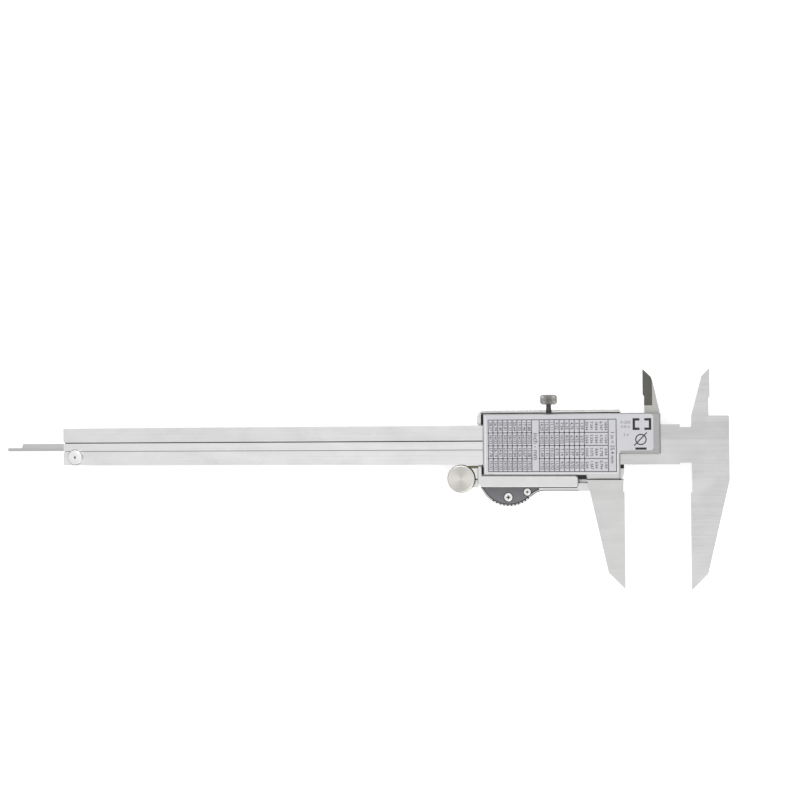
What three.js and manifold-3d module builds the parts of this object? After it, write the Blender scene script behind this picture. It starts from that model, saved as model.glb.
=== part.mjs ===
// Digital caliper, 0 to 200 mm, metal cased, modelled in millimetres.
// Design datum, inside the exported group: x = 0 is the fixed jaw's outside measuring face, y = 0 the beam's
// centre line, z = 0 the beam's mid-plane. +x points to the fixed jaw, +y to the inside jaws and +z to the rear
// face. The group is then moved so that the whole object stands on z = 0, centred on the origin.
import * as THREE from "three";
import { mergeVertices } from "three/addons/utils/BufferGeometryUtils.js";
import Module from "manifold-3d";

const wasm = await Module();
wasm.setup();

// ---- driving dimensions ----
const OPENING = 26; // jaws apart in the modelled position
const BEAM_LENGTH = 266; // measuring face to the free end
const BEAM_HALF = 8; // half the beam's 16 mm height
const FACE = 1.8; // half the beam's 3.6 mm thickness
const JAW_WIDTH = 15; // fixed jaw, measuring face to back
const JAW_TIP = -58;
const INSIDE_TIP = 30.2;
const INSIDE_EDGE = 7.6; // inside measuring edge of the fixed jaw
const RELIEF = 0.55; // undercut above each measuring face
const RELIEF_TOP = -18.9;
const HALF_GAP = 0.1; // the inside jaws pass each other with twice this between them
const NOSE = { top: -37, face: -0.4, width: 5 }; // the outside jaws' tips are bevelled at the front

const GROOVE = { top: 1.9, bottom: -2.05, floor: 0, end: -13 };
const ROD = { top: 1.45, bottom: -1.85, back: 1.65, front: 0.25, end: -39.5, lug: 7 };
const SCALE = { half: 6.2, floor: -1.2, left: -264.5, right: -2 };
const STOP = { x: -260.35, y: -4.5, head: 3.4, shank: 1.2, end: 0.3, under: 1.85, top: 2.75 };

const WALL = { left: -82.8, right: -27.6, top: 12.7, bottom: -12.1, front: 1.9, back: 3.5, chamfer: 0.4 };
const WALL_FOOT = { left: -41.3, bottom: -13.7 }; // the wall reaches lower above the jaw
const FOOT_GROOVE = { bottom: -14.15, top: -13.6, floor: 0.5 }; // below the foot, across the jaw's root
const TONGUE = { right: -11.7, bottom: -3.7 };
const RAIL = { front: -1.95, top: 8.55, bottom: -8.06, jawEnd: -26.1 };
const SLIDER_FACE = -OPENING - 0.01;
const BLADE = { left: INSIDE_EDGE - OPENING, right: -14.75, bottom: 15.7 }; // bevel of the sliding inside jaw
const GIB = { left: -80, right: -30, bottom: 8.12, top: 8.5, half: 1.4 };
const GIB_SCREWS = { gib_screw_rear_end: -73, gib_screw_jaw_end: -38 };
const GIB_SCREW = { r: 0.9, bottom: 8.52, top: 12.2, socket: 11.2 };
const ROD_SCREW = { x: -42.8, y: -0.25, head: 1.25, r: 0.62, end: 0.3 };
const LABEL = { inset: 0.6, thick: 0.14, right: -14.5, tongueBottom: -2.3 };

const CASE = { left: -85.2, right: -27.2, top: 14.1, bottom: -19, front: -10.2, wall: 1.4, corner: 2.6 };
const CASE_INSIDE = -8.9; // inner side of the front wall
const RIM_GAP = 0.3; // between the rim and the slider's wall
const RIM = { back: 2.4, inner: -83.2, barBottom: -17.1, barRight: -44.3, end: 8.47, chamfer: 0.35 };
const STEP = -3.05; // rear surface of the case below the rim bar
const SHELF = -2.0; // rear surface of the case under the slider
const BUMP = { x: -72.8, y: -13, r: 12.45, fillet: 8 };
const TOOTH = { pitch: 1.6, depth: 0.4, count: 11 };
const REST_SCREWS = { large: [-73, -21.67, 1.75], small: [-65.2, -19.45, 1.5] }; // x, y, head radius
const REST_PLATE = { back: -2.0, right: -60.6, rim: 0.75, recess: 0.6 };

const BOARD = { left: -82.5, right: -28.9, half: 12.2, back: -2.0, front: -3.2 };
const CELL = { x: -72.3, y: 0, r: 10, back: -4.8, front: -8.0, shoulder: 1.4 };
const LCD = { left: -60.5, right: -33.5, bottom: -4, top: 9, back: -6.6, front: -8.5 };
const WINDOW = { left: -60.3, right: -33.7, bottom: -3.8, top: 8.8, ledge: 1.2, back: -9.2, play: 0.08 };
const CONTACT_STRIPS = { contact_strip_upper: 8.1, contact_strip_lower: -3.1 };
const PANEL = { left: -60.5, right: -33, bottom: -15.4, top: -7.2, floor: -9.7 };
const BUTTON = { y: -11.3, halfLong: 3.1, halfWide: 1.9, top: -10.05, flange: -8.3, play: 0.2 };
const BUTTONS = { button_units: -56, button_zero: -46.75, button_power: -37.5 };
const DOOR = { right: -61.7, half: 9, lipHalf: 9.8, back: -9.3, lipFront: -9.75, play: 0.1 };
const CASE_SCREW = { r: 0.8, head: 1.5, end: -6.5 };
const CASE_SCREWS = {
  case_screw_roller_end_low: [-79.3, -10.4],
  case_screw_roller_end_high: [-79.3, 10.4],
  case_screw_jaw_end_low: [-30.7, -9.9],
  case_screw_jaw_end_high: [-30.7, 10.4],
};

const LOCK = { x: -56.05, shank: 1.15, knob: 3.4, knobBottom: 16.4, knobTop: 20.4, tip: 9.7, shoe: 8.66 };
const ROLLER = { x: -92.1, y: -13.85, r: 5.75, front: -1.6, back: 1.6, shaft: 1.5, shaftEnd: -3.9 };
const BRACKET = { top: -9.2, bottom: -17.6, back: -2.1, front: -3.0, blockLeft: -89 };
const BRACKET_TAIL = { end: -77.6, top: -12.9, bottom: -15.6 };
const BRACKET_SCREW = { x: -80, y: -14.3, r: 0.7, head: 1.5 };

const ROUND = 32; // sides of a round piece
const SMALL_ROUND = 16; // sides of a screw
const HOLE = 12; // sides of a screw hole
const THROUGH = 1; // how far a cutting tool runs past the face it opens

// ---- shape helpers ----
// Points of an arc, angles in degrees.
function arc(cx, cy, r, from, to, steps) {
  const at = (i) => THREE.MathUtils.degToRad(from + ((to - from) * i) / steps);
  return Array.from({ length: steps + 1 }, (_, i) => [cx + r * Math.cos(at(i)), cy + r * Math.sin(at(i))]);
}

// A closed outline through corners [x, y, radius]; a corner with a radius is rounded.
function outline(corners, steps = 8) {
  const points = corners.flatMap(([x, y, radius], i) => {
    if (!radius) return [new THREE.Vector2(x, y)];
    const corner = new THREE.Vector2(x, y);
    const towards = (j) => {
      const [nx, ny] = corners[(i + j + corners.length) % corners.length];
      return new THREE.Vector2(nx, ny).sub(corner).normalize();
    };
    const before = towards(-1);
    const after = towards(1);
    const half = Math.acos(before.dot(after)) / 2;
    const centre = before.clone().add(after).normalize().multiplyScalar(radius / Math.sin(half)).add(corner);
    const start = before.multiplyScalar(radius / Math.tan(half)).add(corner).sub(centre);
    const end = after.multiplyScalar(radius / Math.tan(half)).add(corner).sub(centre);
    const turn = Math.atan2(start.cross(end), start.dot(end));
    return Array.from({ length: steps + 1 }, (_, k) =>
      start.clone().rotateAround(new THREE.Vector2(), (turn * k) / steps).add(centre),
    );
  });
  return new THREE.Shape(points);
}

// A rectangle with its four corners rounded.
const roundedBox = (x0, x1, y0, y1, r, steps) =>
  outline([[x0, y0, r], [x1, y0, r], [x1, y1, r], [x0, y1, r]], steps);

// A long hole or button: a rectangle whose ends are nearly half circles.
const obround = (x, y, halfLong, halfWide) =>
  roundedBox(x - halfLong, x + halfLong, y - halfWide, y + halfWide, halfWide * 0.98);

const plate = (shape, z0, z1) =>
  new THREE.ExtrudeGeometry(shape, { depth: z1 - z0, bevelEnabled: false }).translate(0, 0, z0);

// A plate with its edges chamfered at 45 degrees on both faces.
const chamferedPlate = (shape, z0, z1, chamfer) =>
  new THREE.ExtrudeGeometry(shape, {
    depth: z1 - z0 - 2 * chamfer,
    bevelThickness: chamfer,
    bevelSize: chamfer,
    bevelOffset: -chamfer,
    bevelSegments: 1,
  }).translate(0, 0, z0 + chamfer);

const box = (x0, x1, y0, y1, z0, z1) =>
  new THREE.BoxGeometry(x1 - x0, y1 - y0, z1 - z0).translate((x0 + x1) / 2, (y0 + y1) / 2, (z0 + z1) / 2);

// Round bars along z and along y.
const barZ = (x, y, r, z0, z1, sides = ROUND) =>
  new THREE.CylinderGeometry(r, r, z1 - z0, sides).rotateX(Math.PI / 2).translate(x, y, (z0 + z1) / 2);
const barY = (x, z, r, y0, y1, sides = ROUND) =>
  new THREE.CylinderGeometry(r, r, y1 - y0, sides).translate(x, (y0 + y1) / 2, z);

// A turned piece about z: the profile lists [radius, z] upwards from the axis and back to it.
const turned = (profile, x, y, sides = ROUND) =>
  new THREE.LatheGeometry(profile.map(([r, z]) => new THREE.Vector2(r, z)), sides)
    .rotateX(Math.PI / 2)
    .translate(x, y, 0);

// A prism along y, for cutting a bevel: its section lists [x, z].
function wedge(section, y0, y1) {
  const shape = new THREE.Shape(section.map(([x, z]) => new THREE.Vector2(x, -z)));
  return new THREE.ExtrudeGeometry(shape, { depth: y1 - y0, bevelEnabled: false })
    .rotateX(-Math.PI / 2)
    .translate(0, y0, 0);
}

function solidOf(geometry) {
  const bare = geometry.index ? geometry.toNonIndexed() : geometry.clone();
  bare.deleteAttribute("normal");
  bare.deleteAttribute("uv");
  const merged = mergeVertices(bare, 1e-4);
  return new wasm.Manifold(
    new wasm.Mesh({
      numProp: 3,
      vertProperties: merged.attributes.position.array,
      triVerts: new Uint32Array(merged.index.array),
    }),
  );
}

function geometryOf(solid) {
  const mesh = solid.getMesh();
  return new THREE.BufferGeometry()
    .setAttribute("position", new THREE.BufferAttribute(mesh.vertProperties, 3))
    .setIndex(new THREE.BufferAttribute(mesh.triVerts, 1));
}

const joined = (...pieces) => geometryOf(pieces.map(solidOf).reduce((a, b) => a.add(b)));
const cut = (piece, ...tools) => geometryOf(tools.map(solidOf).reduce((a, b) => a.subtract(b), solidOf(piece)));

// ---- materials ----
const metal = (color, roughness) => new THREE.MeshStandardMaterial({ color, roughness, metalness: 1 });
const plain = (color, roughness) => new THREE.MeshStandardMaterial({ color, roughness, metalness: 0 });
const steel = metal(0xc9c9c8, 0.36);
const brightSteel = metal(0xdcdad4, 0.25);
const darkSteel = metal(0x8c8a86, 0.35);
const satinCase = metal(0xd6d5d2, 0.3);
const bronze = metal(0xb5854a, 0.35);
const brass = metal(0xc7a554, 0.3);
const greyPlate = plain(0x67676b, 0.5);
const labelFilm = plain(0xb9b9bf, 0.4);
const scaleFilm = plain(0x20242b, 0.35);
const boardGreen = plain(0x1e5b36, 0.5);
const blackPlastic = plain(0x1b1c1e, 0.5);
const rubber = plain(0x3a3b3d, 0.8);
const clear = plain(0xe8f0f2, 0.05);
const lcdGrey = plain(0xa9b3a4, 0.2);

const caliper = new THREE.Group();

function add(name, geometry, material) {
  const mesh = new THREE.Mesh(geometry, material);
  mesh.name = name;
  caliper.add(mesh);
}

// ---- beam group ----
// Cuts the front of an outside jaw's tip back to a thin edge; side is +1 when the jaw's body is to the right.
function noseBevel(faceX, side) {
  const past = faceX - side * THROUGH;
  const section = [
    [faceX + side * NOSE.width, -FACE - THROUGH],
    [faceX + side * NOSE.width, -FACE],
    [faceX, NOSE.face],
    [past, NOSE.face],
    [past, -FACE - THROUGH],
  ];
  return wedge(side > 0 ? section : section.reverse(), JAW_TIP - THROUGH, NOSE.top);
}

// The beam and both fixed jaws are one ground piece.
function beam() {
  const body = plate(
    outline([
      [-BEAM_LENGTH, -BEAM_HALF],
      [-4.1, -BEAM_HALF],
      [-4.1, -7.4],
      [RELIEF, -7.4],
      [RELIEF, RELIEF_TOP],
      [0, RELIEF_TOP - 0.5],
      [0, JAW_TIP],
      [0.25, JAW_TIP],
      [6.4, -51.6],
      [JAW_WIDTH, -14.3],
      [JAW_WIDTH, 11.4],
      [INSIDE_EDGE - RELIEF, 11.4, 0.4],
      [INSIDE_EDGE - RELIEF, 18.4],
      [INSIDE_EDGE, 18.9],
      [INSIDE_EDGE, INSIDE_TIP],
      [INSIDE_EDGE - 0.2, INSIDE_TIP],
      [4.5, 27.2, 0.5],
      [0.4, 11.4],
      [0.4, 6.85],
      [-4.1, 6.85],
      [-4.1, BEAM_HALF],
      [-BEAM_LENGTH, BEAM_HALF],
    ]),
    -FACE,
    FACE,
  );
  const pastEnd = -BEAM_LENGTH - THROUGH;
  const rodGroove = box(pastEnd, GROOVE.end, GROOVE.bottom, GROOVE.top, GROOVE.floor, FACE + THROUGH);
  const scaleBed = box(SCALE.left, SCALE.right, -SCALE.half, SCALE.half, -FACE - THROUGH, SCALE.floor);
  const insideHalf = box(-1, JAW_WIDTH + 1, BEAM_HALF + 0.05, INSIDE_TIP + THROUGH, -FACE - THROUGH, HALF_GAP);
  const insideSection = [[3.6, 0], [INSIDE_EDGE + 1, 0], [INSIDE_EDGE + 1, 1.55], [INSIDE_EDGE, 1.5]];
  const insideBevel = wedge(insideSection, 12.4, INSIDE_TIP + THROUGH);
  const stopHole = barZ(STOP.x, STOP.y, STOP.shank + 0.05, STOP.end - 0.1, FACE + THROUGH);
  return cut(body, rodGroove, scaleBed, insideHalf, insideBevel, noseBevel(0, 1), stopHole);
}
add("beam_with_fixed_jaws", beam(), steel);

const scaleLayer = (half, z0, z1) => box(SCALE.left + 0.2, SCALE.right - 0.2, -half, half, z0, z1);
add("capacitive_scale_strip", scaleLayer(6, -1.6, -1.25), boardGreen);
add("scale_cover_film", scaleLayer(6.1, -1.79, -1.63), scaleFilm);

function stopScrew() {
  const body = turned(
    [
      [0, STOP.end],
      [STOP.shank, STOP.end],
      [STOP.shank, STOP.under],
      [STOP.head, STOP.under],
      [STOP.head, STOP.top - 0.2],
      [STOP.head - 0.2, STOP.top],
      [0, STOP.top],
    ],
    STOP.x,
    STOP.y,
  );
  const socket = barZ(STOP.x, STOP.y, 0.7, STOP.top - 0.5, STOP.top + THROUGH, 6);
  return cut(body, socket);
}
add("beam_stop_screw", stopScrew(), brightSteel);

// ---- slider group ----
// A hole along z from the case's front to past the wall's back.
const throughHole = (x, y, r) => barZ(x, y, r, CASE.front, WALL.back + THROUGH, HOLE);

// The funnel of a countersunk head of radius r at the wall's back.
const countersink = (x, y, r) =>
  turned(
    [[0, WALL.back - r], [r + 0.1, WALL.back + 0.1], [r + 0.1, WALL.back + THROUGH], [0, WALL.back + THROUGH]],
    x,
    y,
    SMALL_ROUND,
  );

// The plate behind the beam, with the tongue that reaches towards the fixed jaw.
const rearWall = () =>
  chamferedPlate(
    outline([
      [WALL.left, WALL.bottom, 0.8],
      [WALL_FOOT.left, WALL.bottom],
      [WALL_FOOT.left + 0.5, WALL_FOOT.bottom, 0.6],
      [WALL.right - 0.5, WALL_FOOT.bottom, 0.8],
      [WALL.right, WALL.bottom],
      [WALL.right, TONGUE.bottom],
      [TONGUE.right, TONGUE.bottom, 0.5],
      [TONGUE.right, WALL.top, 0.5],
      [WALL.left, WALL.top, 0.8],
    ]),
    WALL.front,
    WALL.back,
    WALL.chamfer,
  );

const bottomRail = () =>
  plate(
    outline([
      [WALL.left, WALL.bottom],
      [WALL_FOOT.left + 0.3, WALL.bottom],
      [WALL_FOOT.left + 0.3, -15],
      [-29, -15],
      [-26.8, -13.6],
      [RAIL.jawEnd, -11.4],
      [RAIL.jawEnd, RAIL.bottom],
      [WALL.left, RAIL.bottom],
    ]),
    RAIL.front,
    FACE,
  );

const slidingOutsideJaw = () =>
  plate(
    outline([
      [-40.8, -14.1],
      [-32.6, -51.7],
      [SLIDER_FACE - 0.25, JAW_TIP],
      [SLIDER_FACE, JAW_TIP],
      [SLIDER_FACE, RELIEF_TOP - 0.5],
      [SLIDER_FACE - RELIEF, RELIEF_TOP],
      [SLIDER_FACE - 0.3, -14.1],
    ]),
    -FACE,
    FACE,
  );

// The inside jaw leaves the top rail in the front half of the beam's thickness.
const slidingInsideJaw = () =>
  plate(
    outline([
      [SLIDER_FACE - 2, RAIL.top],
      [-11.65, RAIL.top],
      [-11.65, 9.7],
      [-11.85, 13.1, 3],
      [-14.25, 24.3],
      [-15.1, 27.1, 0.5],
      [BLADE.left + 0.2, INSIDE_TIP],
      [BLADE.left, INSIDE_TIP],
      [BLADE.left, 20],
      [BLADE.left + RELIEF, 19.4],
      [BLADE.left + RELIEF, WALL.top - 0.1, 0.4],
      [SLIDER_FACE - 2, WALL.top - 0.1],
    ]),
    -FACE,
    -HALF_GAP,
  );

// The rear wall, the two rails, the sliding outside jaw and the sliding inside jaw are one milled piece.
function sliderBody() {
  const railTop = WALL.top - 0.1;
  const wallJoin = WALL.front + 0.5;
  const body = joined(
    rearWall(),
    box(WALL.left, SLIDER_FACE + 0.2, RAIL.top, railTop, RAIL.front, wallJoin),
    bottomRail(),
    box(WALL.left, WALL.right - 0.5, WALL.bottom, RAIL.bottom, FACE - 0.1, wallJoin),
    slidingOutsideJaw(),
    slidingInsideJaw(),
  );
  const bladeSection = [
    [BLADE.left - 1, 0],
    [BLADE.left - 1, -1.6],
    [BLADE.left, -1.5],
    [BLADE.right, -0.55],
    [BLADE.right, 0],
  ];
  const footGroove = box(
    WALL_FOOT.left, SLIDER_FACE + 1, FOOT_GROOVE.bottom, FOOT_GROOVE.top, FOOT_GROOVE.floor, FACE + 0.05,
  );
  const railHole = (x, r, sides) => barY(x, 0, r, RAIL.top - 1, WALL.top + THROUGH, sides);
  return cut(
    body,
    wedge(bladeSection, BLADE.bottom, INSIDE_TIP + THROUGH),
    noseBevel(SLIDER_FACE, -1),
    footGroove,
    railHole(LOCK.x, LOCK.shank + 0.1, SMALL_ROUND),
    ...Object.values(GIB_SCREWS).map((x) => railHole(x, GIB_SCREW.r + 0.1, HOLE)),
    ...Object.values(CASE_SCREWS).map(([x, y]) => throughHole(x, y, CASE_SCREW.r + 0.1)),
    ...Object.values(CASE_SCREWS).map(([x, y]) => countersink(x, y, CASE_SCREW.head + 0.15)),
    throughHole(ROD_SCREW.x, ROD_SCREW.y, ROD_SCREW.r + 0.13),
    countersink(ROD_SCREW.x, ROD_SCREW.y, ROD_SCREW.head + 0.15),
  );
}
add("slider_body_with_jaws", sliderBody(), steel);

add("gib_strip", box(GIB.left, GIB.right, GIB.bottom, GIB.top, -GIB.half, GIB.half), bronze);
Object.entries(GIB_SCREWS).forEach(([name, x]) => {
  const body = barY(x, 0, GIB_SCREW.r, GIB_SCREW.bottom, GIB_SCREW.top, SMALL_ROUND);
  const socket = barY(x, 0, GIB_SCREW.r / 2, GIB_SCREW.socket, GIB_SCREW.top + THROUGH, 6);
  add(name, cut(body, socket), darkSteel);
});

// The depth rod's tip is level with the beam's end when the jaws are closed.
function depthRod() {
  const tip = -BEAM_LENGTH - OPENING;
  const notch = -0.35; // the tip is notched above this
  const blade = plate(
    outline([
      [tip, ROD.bottom],
      [ROD.end, ROD.bottom],
      [ROD.end, ROD.top],
      [tip + 7.1, ROD.top],
      [tip + 6.5, notch],
      [tip, notch],
    ]),
    ROD.front,
    ROD.back,
  );
  const lug = box(ROD.end - ROD.lug, ROD.end, ROD.bottom, ROD.top, ROD.front, WALL.front - 0.03);
  return cut(joined(blade, lug), barZ(ROD_SCREW.x, ROD_SCREW.y, ROD_SCREW.r + 0.06, -1, 3, HOLE));
}
add("depth_rod", depthRod(), steel);

// A countersunk screw with its flat head at the wall's back, and a cross recess.
function countersunkScrew(x, y, { head, r, end }) {
  const top = WALL.back - 0.02;
  const cone = [[r, top - head + r], [head, top - 0.05], [head, top]];
  const body = turned([[0, end], [r, end], ...cone, [0, top]], x, y, SMALL_ROUND);
  const slot = (w, h) => box(x - w, x + w, y - h, y + h, top - 0.45, top + THROUGH);
  return cut(body, slot(head * 0.55, head * 0.14), slot(head * 0.14, head * 0.55));
}
add("depth_rod_screw", countersunkScrew(ROD_SCREW.x, ROD_SCREW.y, ROD_SCREW), darkSteel);
Object.entries(CASE_SCREWS).forEach(([name, [x, y]]) =>
  add(name, countersunkScrew(x, y, CASE_SCREW), darkSteel),
);

// The printed film covers the rear wall and its tongue.
const conversionLabel = () =>
  plate(
    outline([
      [WALL.left + LABEL.inset, WALL.bottom + 0.5, 0.8],
      [WALL.right - LABEL.inset, WALL.bottom + 0.5, 0.8],
      [WALL.right - LABEL.inset, LABEL.tongueBottom],
      [LABEL.right, LABEL.tongueBottom, 1.2],
      [LABEL.right, WALL.top - 0.4, 1.2],
      [WALL.left + LABEL.inset, WALL.top - 0.4, 0.8],
    ]),
    WALL.back,
    WALL.back + LABEL.thick,
  );
add("rear_conversion_label", conversionLabel(), labelFilm);

// ---- case ----
// The thumb rest is a circle that runs into the case's bottom line through a fillet.
const filletY = CASE.bottom - BUMP.fillet;
const filletX = BUMP.x + Math.sqrt((BUMP.r + BUMP.fillet) ** 2 - (filletY - BUMP.y) ** 2);
const bumpEnd = THREE.MathUtils.radToDeg(Math.atan2(filletY - BUMP.y, filletX - BUMP.x));

// The thumb rest's curve from the case's left side to its bottom line, moved inwards by inset.
function bumpCurve(inset, serrated) {
  const r = BUMP.r - inset;
  const leave = Math.acos(Math.min(1, (BUMP.x - CASE.left - inset) / r));
  const bumpStart = -180 + THREE.MathUtils.radToDeg(leave);
  const toothSpan = THREE.MathUtils.radToDeg(TOOTH.pitch / r);
  const teethStart = bumpEnd - toothSpan * TOOTH.count;
  const tooth = (_, i) => {
    const a = teethStart + toothSpan * i;
    return [
      ...arc(BUMP.x, BUMP.y, r - TOOTH.depth, a + toothSpan * 0.12, a + toothSpan * 0.4, 1),
      ...arc(BUMP.x, BUMP.y, r, a + toothSpan * 0.55, a + toothSpan * 0.97, 1),
    ];
  };
  const smooth = arc(BUMP.x, BUMP.y, r, bumpStart, serrated ? teethStart : bumpEnd, serrated ? 8 : 16);
  const teeth = serrated ? Array.from({ length: TOOTH.count }, tooth).flat() : [];
  const fillet = arc(filletX, filletY, BUMP.fillet + inset, bumpEnd + 180, 90, 6);
  return [...smooth, ...teeth, ...fillet.slice(serrated ? 0 : 1)];
}

// The front box with the thumb rest.
const frontBox = () =>
  plate(
    outline([
      ...bumpCurve(0, true),
      [CASE.right, CASE.bottom, CASE.corner],
      [CASE.right, CASE.top, 1],
      [CASE.left, CASE.top, CASE.corner],
    ]),
    CASE.front,
    STEP,
  );

// The step between the front box and the slider.
const caseShelf = () =>
  plate(
    outline([
      [CASE.left, -17.15, 0.5],
      [RIM.barRight, -17.15, 1],
      [RIM.barRight, -14.6],
      [CASE.right, -14.6, 1],
      [CASE.right, CASE.top, 1],
      [CASE.left, CASE.top, CASE.corner],
    ]),
    STEP - 0.5,
    SHELF,
  );

// The rim's bar wraps the slider's lower edge, and its upper part the top edge.
const rimBar = () =>
  chamferedPlate(
    outline([
      [CASE.left, -RIM.end, 0.9],
      [CASE.left, RIM.barBottom, 2.2],
      [RIM.barRight, RIM.barBottom, 1],
      [RIM.barRight, WALL.bottom - RIM_GAP, 1.4],
      [RIM.inner, WALL.bottom - RIM_GAP],
      [RIM.inner, -RIM.end, 0.9],
    ]),
    SHELF - 0.5,
    RIM.back,
    RIM.chamfer,
  );
const rimTop = () =>
  chamferedPlate(
    outline([
      [CASE.left, RIM.end, 0.9],
      [RIM.inner, RIM.end, 0.9],
      [RIM.inner, WALL.top + RIM_GAP],
      [CASE.right, WALL.top + RIM_GAP],
      [CASE.right - 1.1, CASE.top],
      [CASE.left, CASE.top, CASE.corner],
    ]),
    SHELF - 0.5,
    RIM.back,
    RIM.chamfer,
  );

// The openings in the front wall: window, button panel, buttons, battery door and coin cell.
function frontOpenings() {
  const front = CASE.front - THROUGH;
  const inside = CASE_INSIDE + THROUGH;
  const { left, right, bottom, top, ledge } = WINDOW;
  const doorEnd = DOOR.right + DOOR.play;
  const doorCut = (half, z0) =>
    box(CASE.left - 1, doorEnd, -half - DOOR.play, half + DOOR.play, z0, DOOR.back + 0.05);
  return [
    box(left, right, bottom, top, front, WINDOW.back + 0.02),
    box(left + ledge, right - ledge, bottom + ledge, top - ledge, front, inside),
    plate(roundedBox(PANEL.left, PANEL.right, PANEL.bottom, PANEL.top, 1), front, PANEL.floor),
    ...Object.values(BUTTONS).map((x) =>
      plate(obround(x, BUTTON.y, BUTTON.halfLong + BUTTON.play, BUTTON.halfWide + BUTTON.play), front, inside),
    ),
    doorCut(DOOR.half, front),
    doorCut(DOOR.lipHalf, DOOR.lipFront - 0.05),
    barZ(CELL.x, CELL.y, CELL.r + 0.3, CASE.front, inside, 40),
  ];
}

// One die-cast shell, from the front box to the rim.
function frontCase() {
  const w = CASE.wall;
  const shell = joined(frontBox(), caseShelf(), rimBar(), rimTop());
  const cavity = plate(
    roundedBox(CASE.left + w, CASE.right - w, -17.3 + w, CASE.top - 1.5, 1),
    CASE_INSIDE,
    SHELF + THROUGH,
  );
  const sliderSeat = box(
    RIM.inner, CASE.right + 1, WALL.bottom - RIM_GAP, WALL.top + RIM_GAP, SHELF - 0.05, RIM.back + THROUGH,
  );
  const jawWay = box(RIM.barRight + 0.01, CASE.right + 1, -20, WALL.bottom, SHELF, RIM.back + THROUGH);
  const bosses = Object.values(CASE_SCREWS).map(([x, y]) =>
    barZ(x, y, 1.9, CASE_INSIDE - 0.5, BOARD.front - 0.05, SMALL_ROUND),
  );
  const bossHoles = Object.values(CASE_SCREWS).map(([x, y]) => barZ(x, y, CASE_SCREW.r + 0.1, -7, 0, HOLE));
  const knobNotch = box(LOCK.x - 2.9, LOCK.x + 2.9, WALL.top, CASE.top + 1, SHELF + 0.25, RIM.back + THROUGH);
  const gibHoles = Object.values(GIB_SCREWS).map((x) => barY(x, 0, 1.2, WALL.top, CASE.top + 1, HOLE));
  const bracketSlot = box(
    CASE.left - 1, CASE.left + w + 0.4,
    BRACKET_TAIL.bottom - 0.1, BRACKET_TAIL.top + 0.1,
    BRACKET.front - 0.1, SHELF + 0.03,
  );
  const bracketHole = barZ(BRACKET_SCREW.x, BRACKET_SCREW.y, BRACKET_SCREW.r + 0.05, -3, 0.4, HOLE);
  const restHoles = Object.values(REST_SCREWS).map(([x, y]) => barZ(x, y, 0.9, -7, 0, HOLE));
  return cut(
    joined(cut(shell, cavity, sliderSeat, jawWay), ...bosses),
    ...bossHoles,
    ...gibHoles,
    ...frontOpenings(),
    ...restHoles,
    knobNotch,
    bracketSlot,
    bracketHole,
  );
}
add("front_case", frontCase(), satinCase);

// The grey plate behind the thumb rest, with a round recess at each screw.
function restPlate() {
  const { back, right, rim, recess } = REST_PLATE;
  const top = RIM.barBottom - 0.25;
  const curve = bumpCurve(rim, false).filter(([x, y]) => y < top && x < right);
  const endY = filletY + Math.sqrt((BUMP.fillet + rim) ** 2 - (right - filletX) ** 2);
  const shape = outline([...curve, [right, endY], [right, top], [CASE.left + 1, top]]);
  const holes = Object.values(REST_SCREWS).flatMap(([x, y, r]) => [
    barZ(x, y, 0.9, -5, 0, HOLE),
    barZ(x, y, r + 0.3, back - recess, back + THROUGH, 20),
  ]);
  return cut(plate(shape, STEP + 0.02, back), ...holes);
}
add("thumb_rest_back_plate", restPlate(), greyPlate);

// A pan-head screw seated in the plate's recess.
function restScrew(x, y, r) {
  const seat = REST_PLATE.back - REST_PLATE.recess + 0.02;
  const dome = [[r, seat], [r, seat + 0.35], [r - 0.45, seat + 0.75], [0, seat + 0.8]];
  const body = turned([[0, -6.5], [0.8, -6.5], [0.8, seat], ...dome], x, y, 20);
  const slot = (w, h) => box(x - w, x + w, y - h, y + h, seat + 0.3, THROUGH);
  return cut(body, slot(r * 0.5, 0.18), slot(0.18, r * 0.5));
}
Object.entries(REST_SCREWS).forEach(([size, place]) =>
  add("thumb_rest_screw_" + size, restScrew(...place), brightSteel),
);

// ---- display, buttons and electronics ----
function displayWindow() {
  const { left, right, bottom, top, back, play } = WINDOW;
  return box(left + play, right - play, bottom + play, top - play, CASE.front + 0.15, back);
}
add("display_window", displayWindow(), clear);
add("lcd_panel", box(LCD.left, LCD.right, LCD.bottom, LCD.top, LCD.front, LCD.back), lcdGrey);

function lcdFrame() {
  const grown = (g, z0, z1) => box(LCD.left - g, LCD.right + g, LCD.bottom - g, LCD.top + g, z0, z1);
  return cut(grown(0.9, -8.8, BOARD.front - 0.1), grown(0.1, -10, 0));
}
add("lcd_frame", lcdFrame(), blackPlastic);
Object.entries(CONTACT_STRIPS).forEach(([name, y]) =>
  add(name, box(LCD.left + 1, LCD.right - 1, y - 0.6, y + 0.6, LCD.back + 0.03, BOARD.front - 0.03), rubber),
);

function circuitBoard() {
  const { left, right, half, front, back } = BOARD;
  const board = plate(roundedBox(left, right, -half, half, 1, 3), front, back);
  return cut(board, ...Object.values(CASE_SCREWS).map(([x, y]) => barZ(x, y, 1, -4, 0, HOLE)));
}
add("circuit_board", circuitBoard(), boardGreen);
add("measuring_chip", box(-51, -43, -0.5, 6.5, -4.5, BOARD.front - 0.02), blackPlastic);

// Buttons are captive behind the front wall and press on the domes of one silicone pad.
Object.entries(BUTTONS).forEach(([name, x]) => {
  const { y, halfLong, halfWide, top, flange } = BUTTON;
  const cap = plate(obround(x, y, halfLong, halfWide), top, flange);
  const collar = plate(obround(x, y, halfLong + 0.8, halfWide + 0.7), CASE_INSIDE + 0.05, flange);
  add(name, joined(cap, collar), blackPlastic);
});

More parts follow.
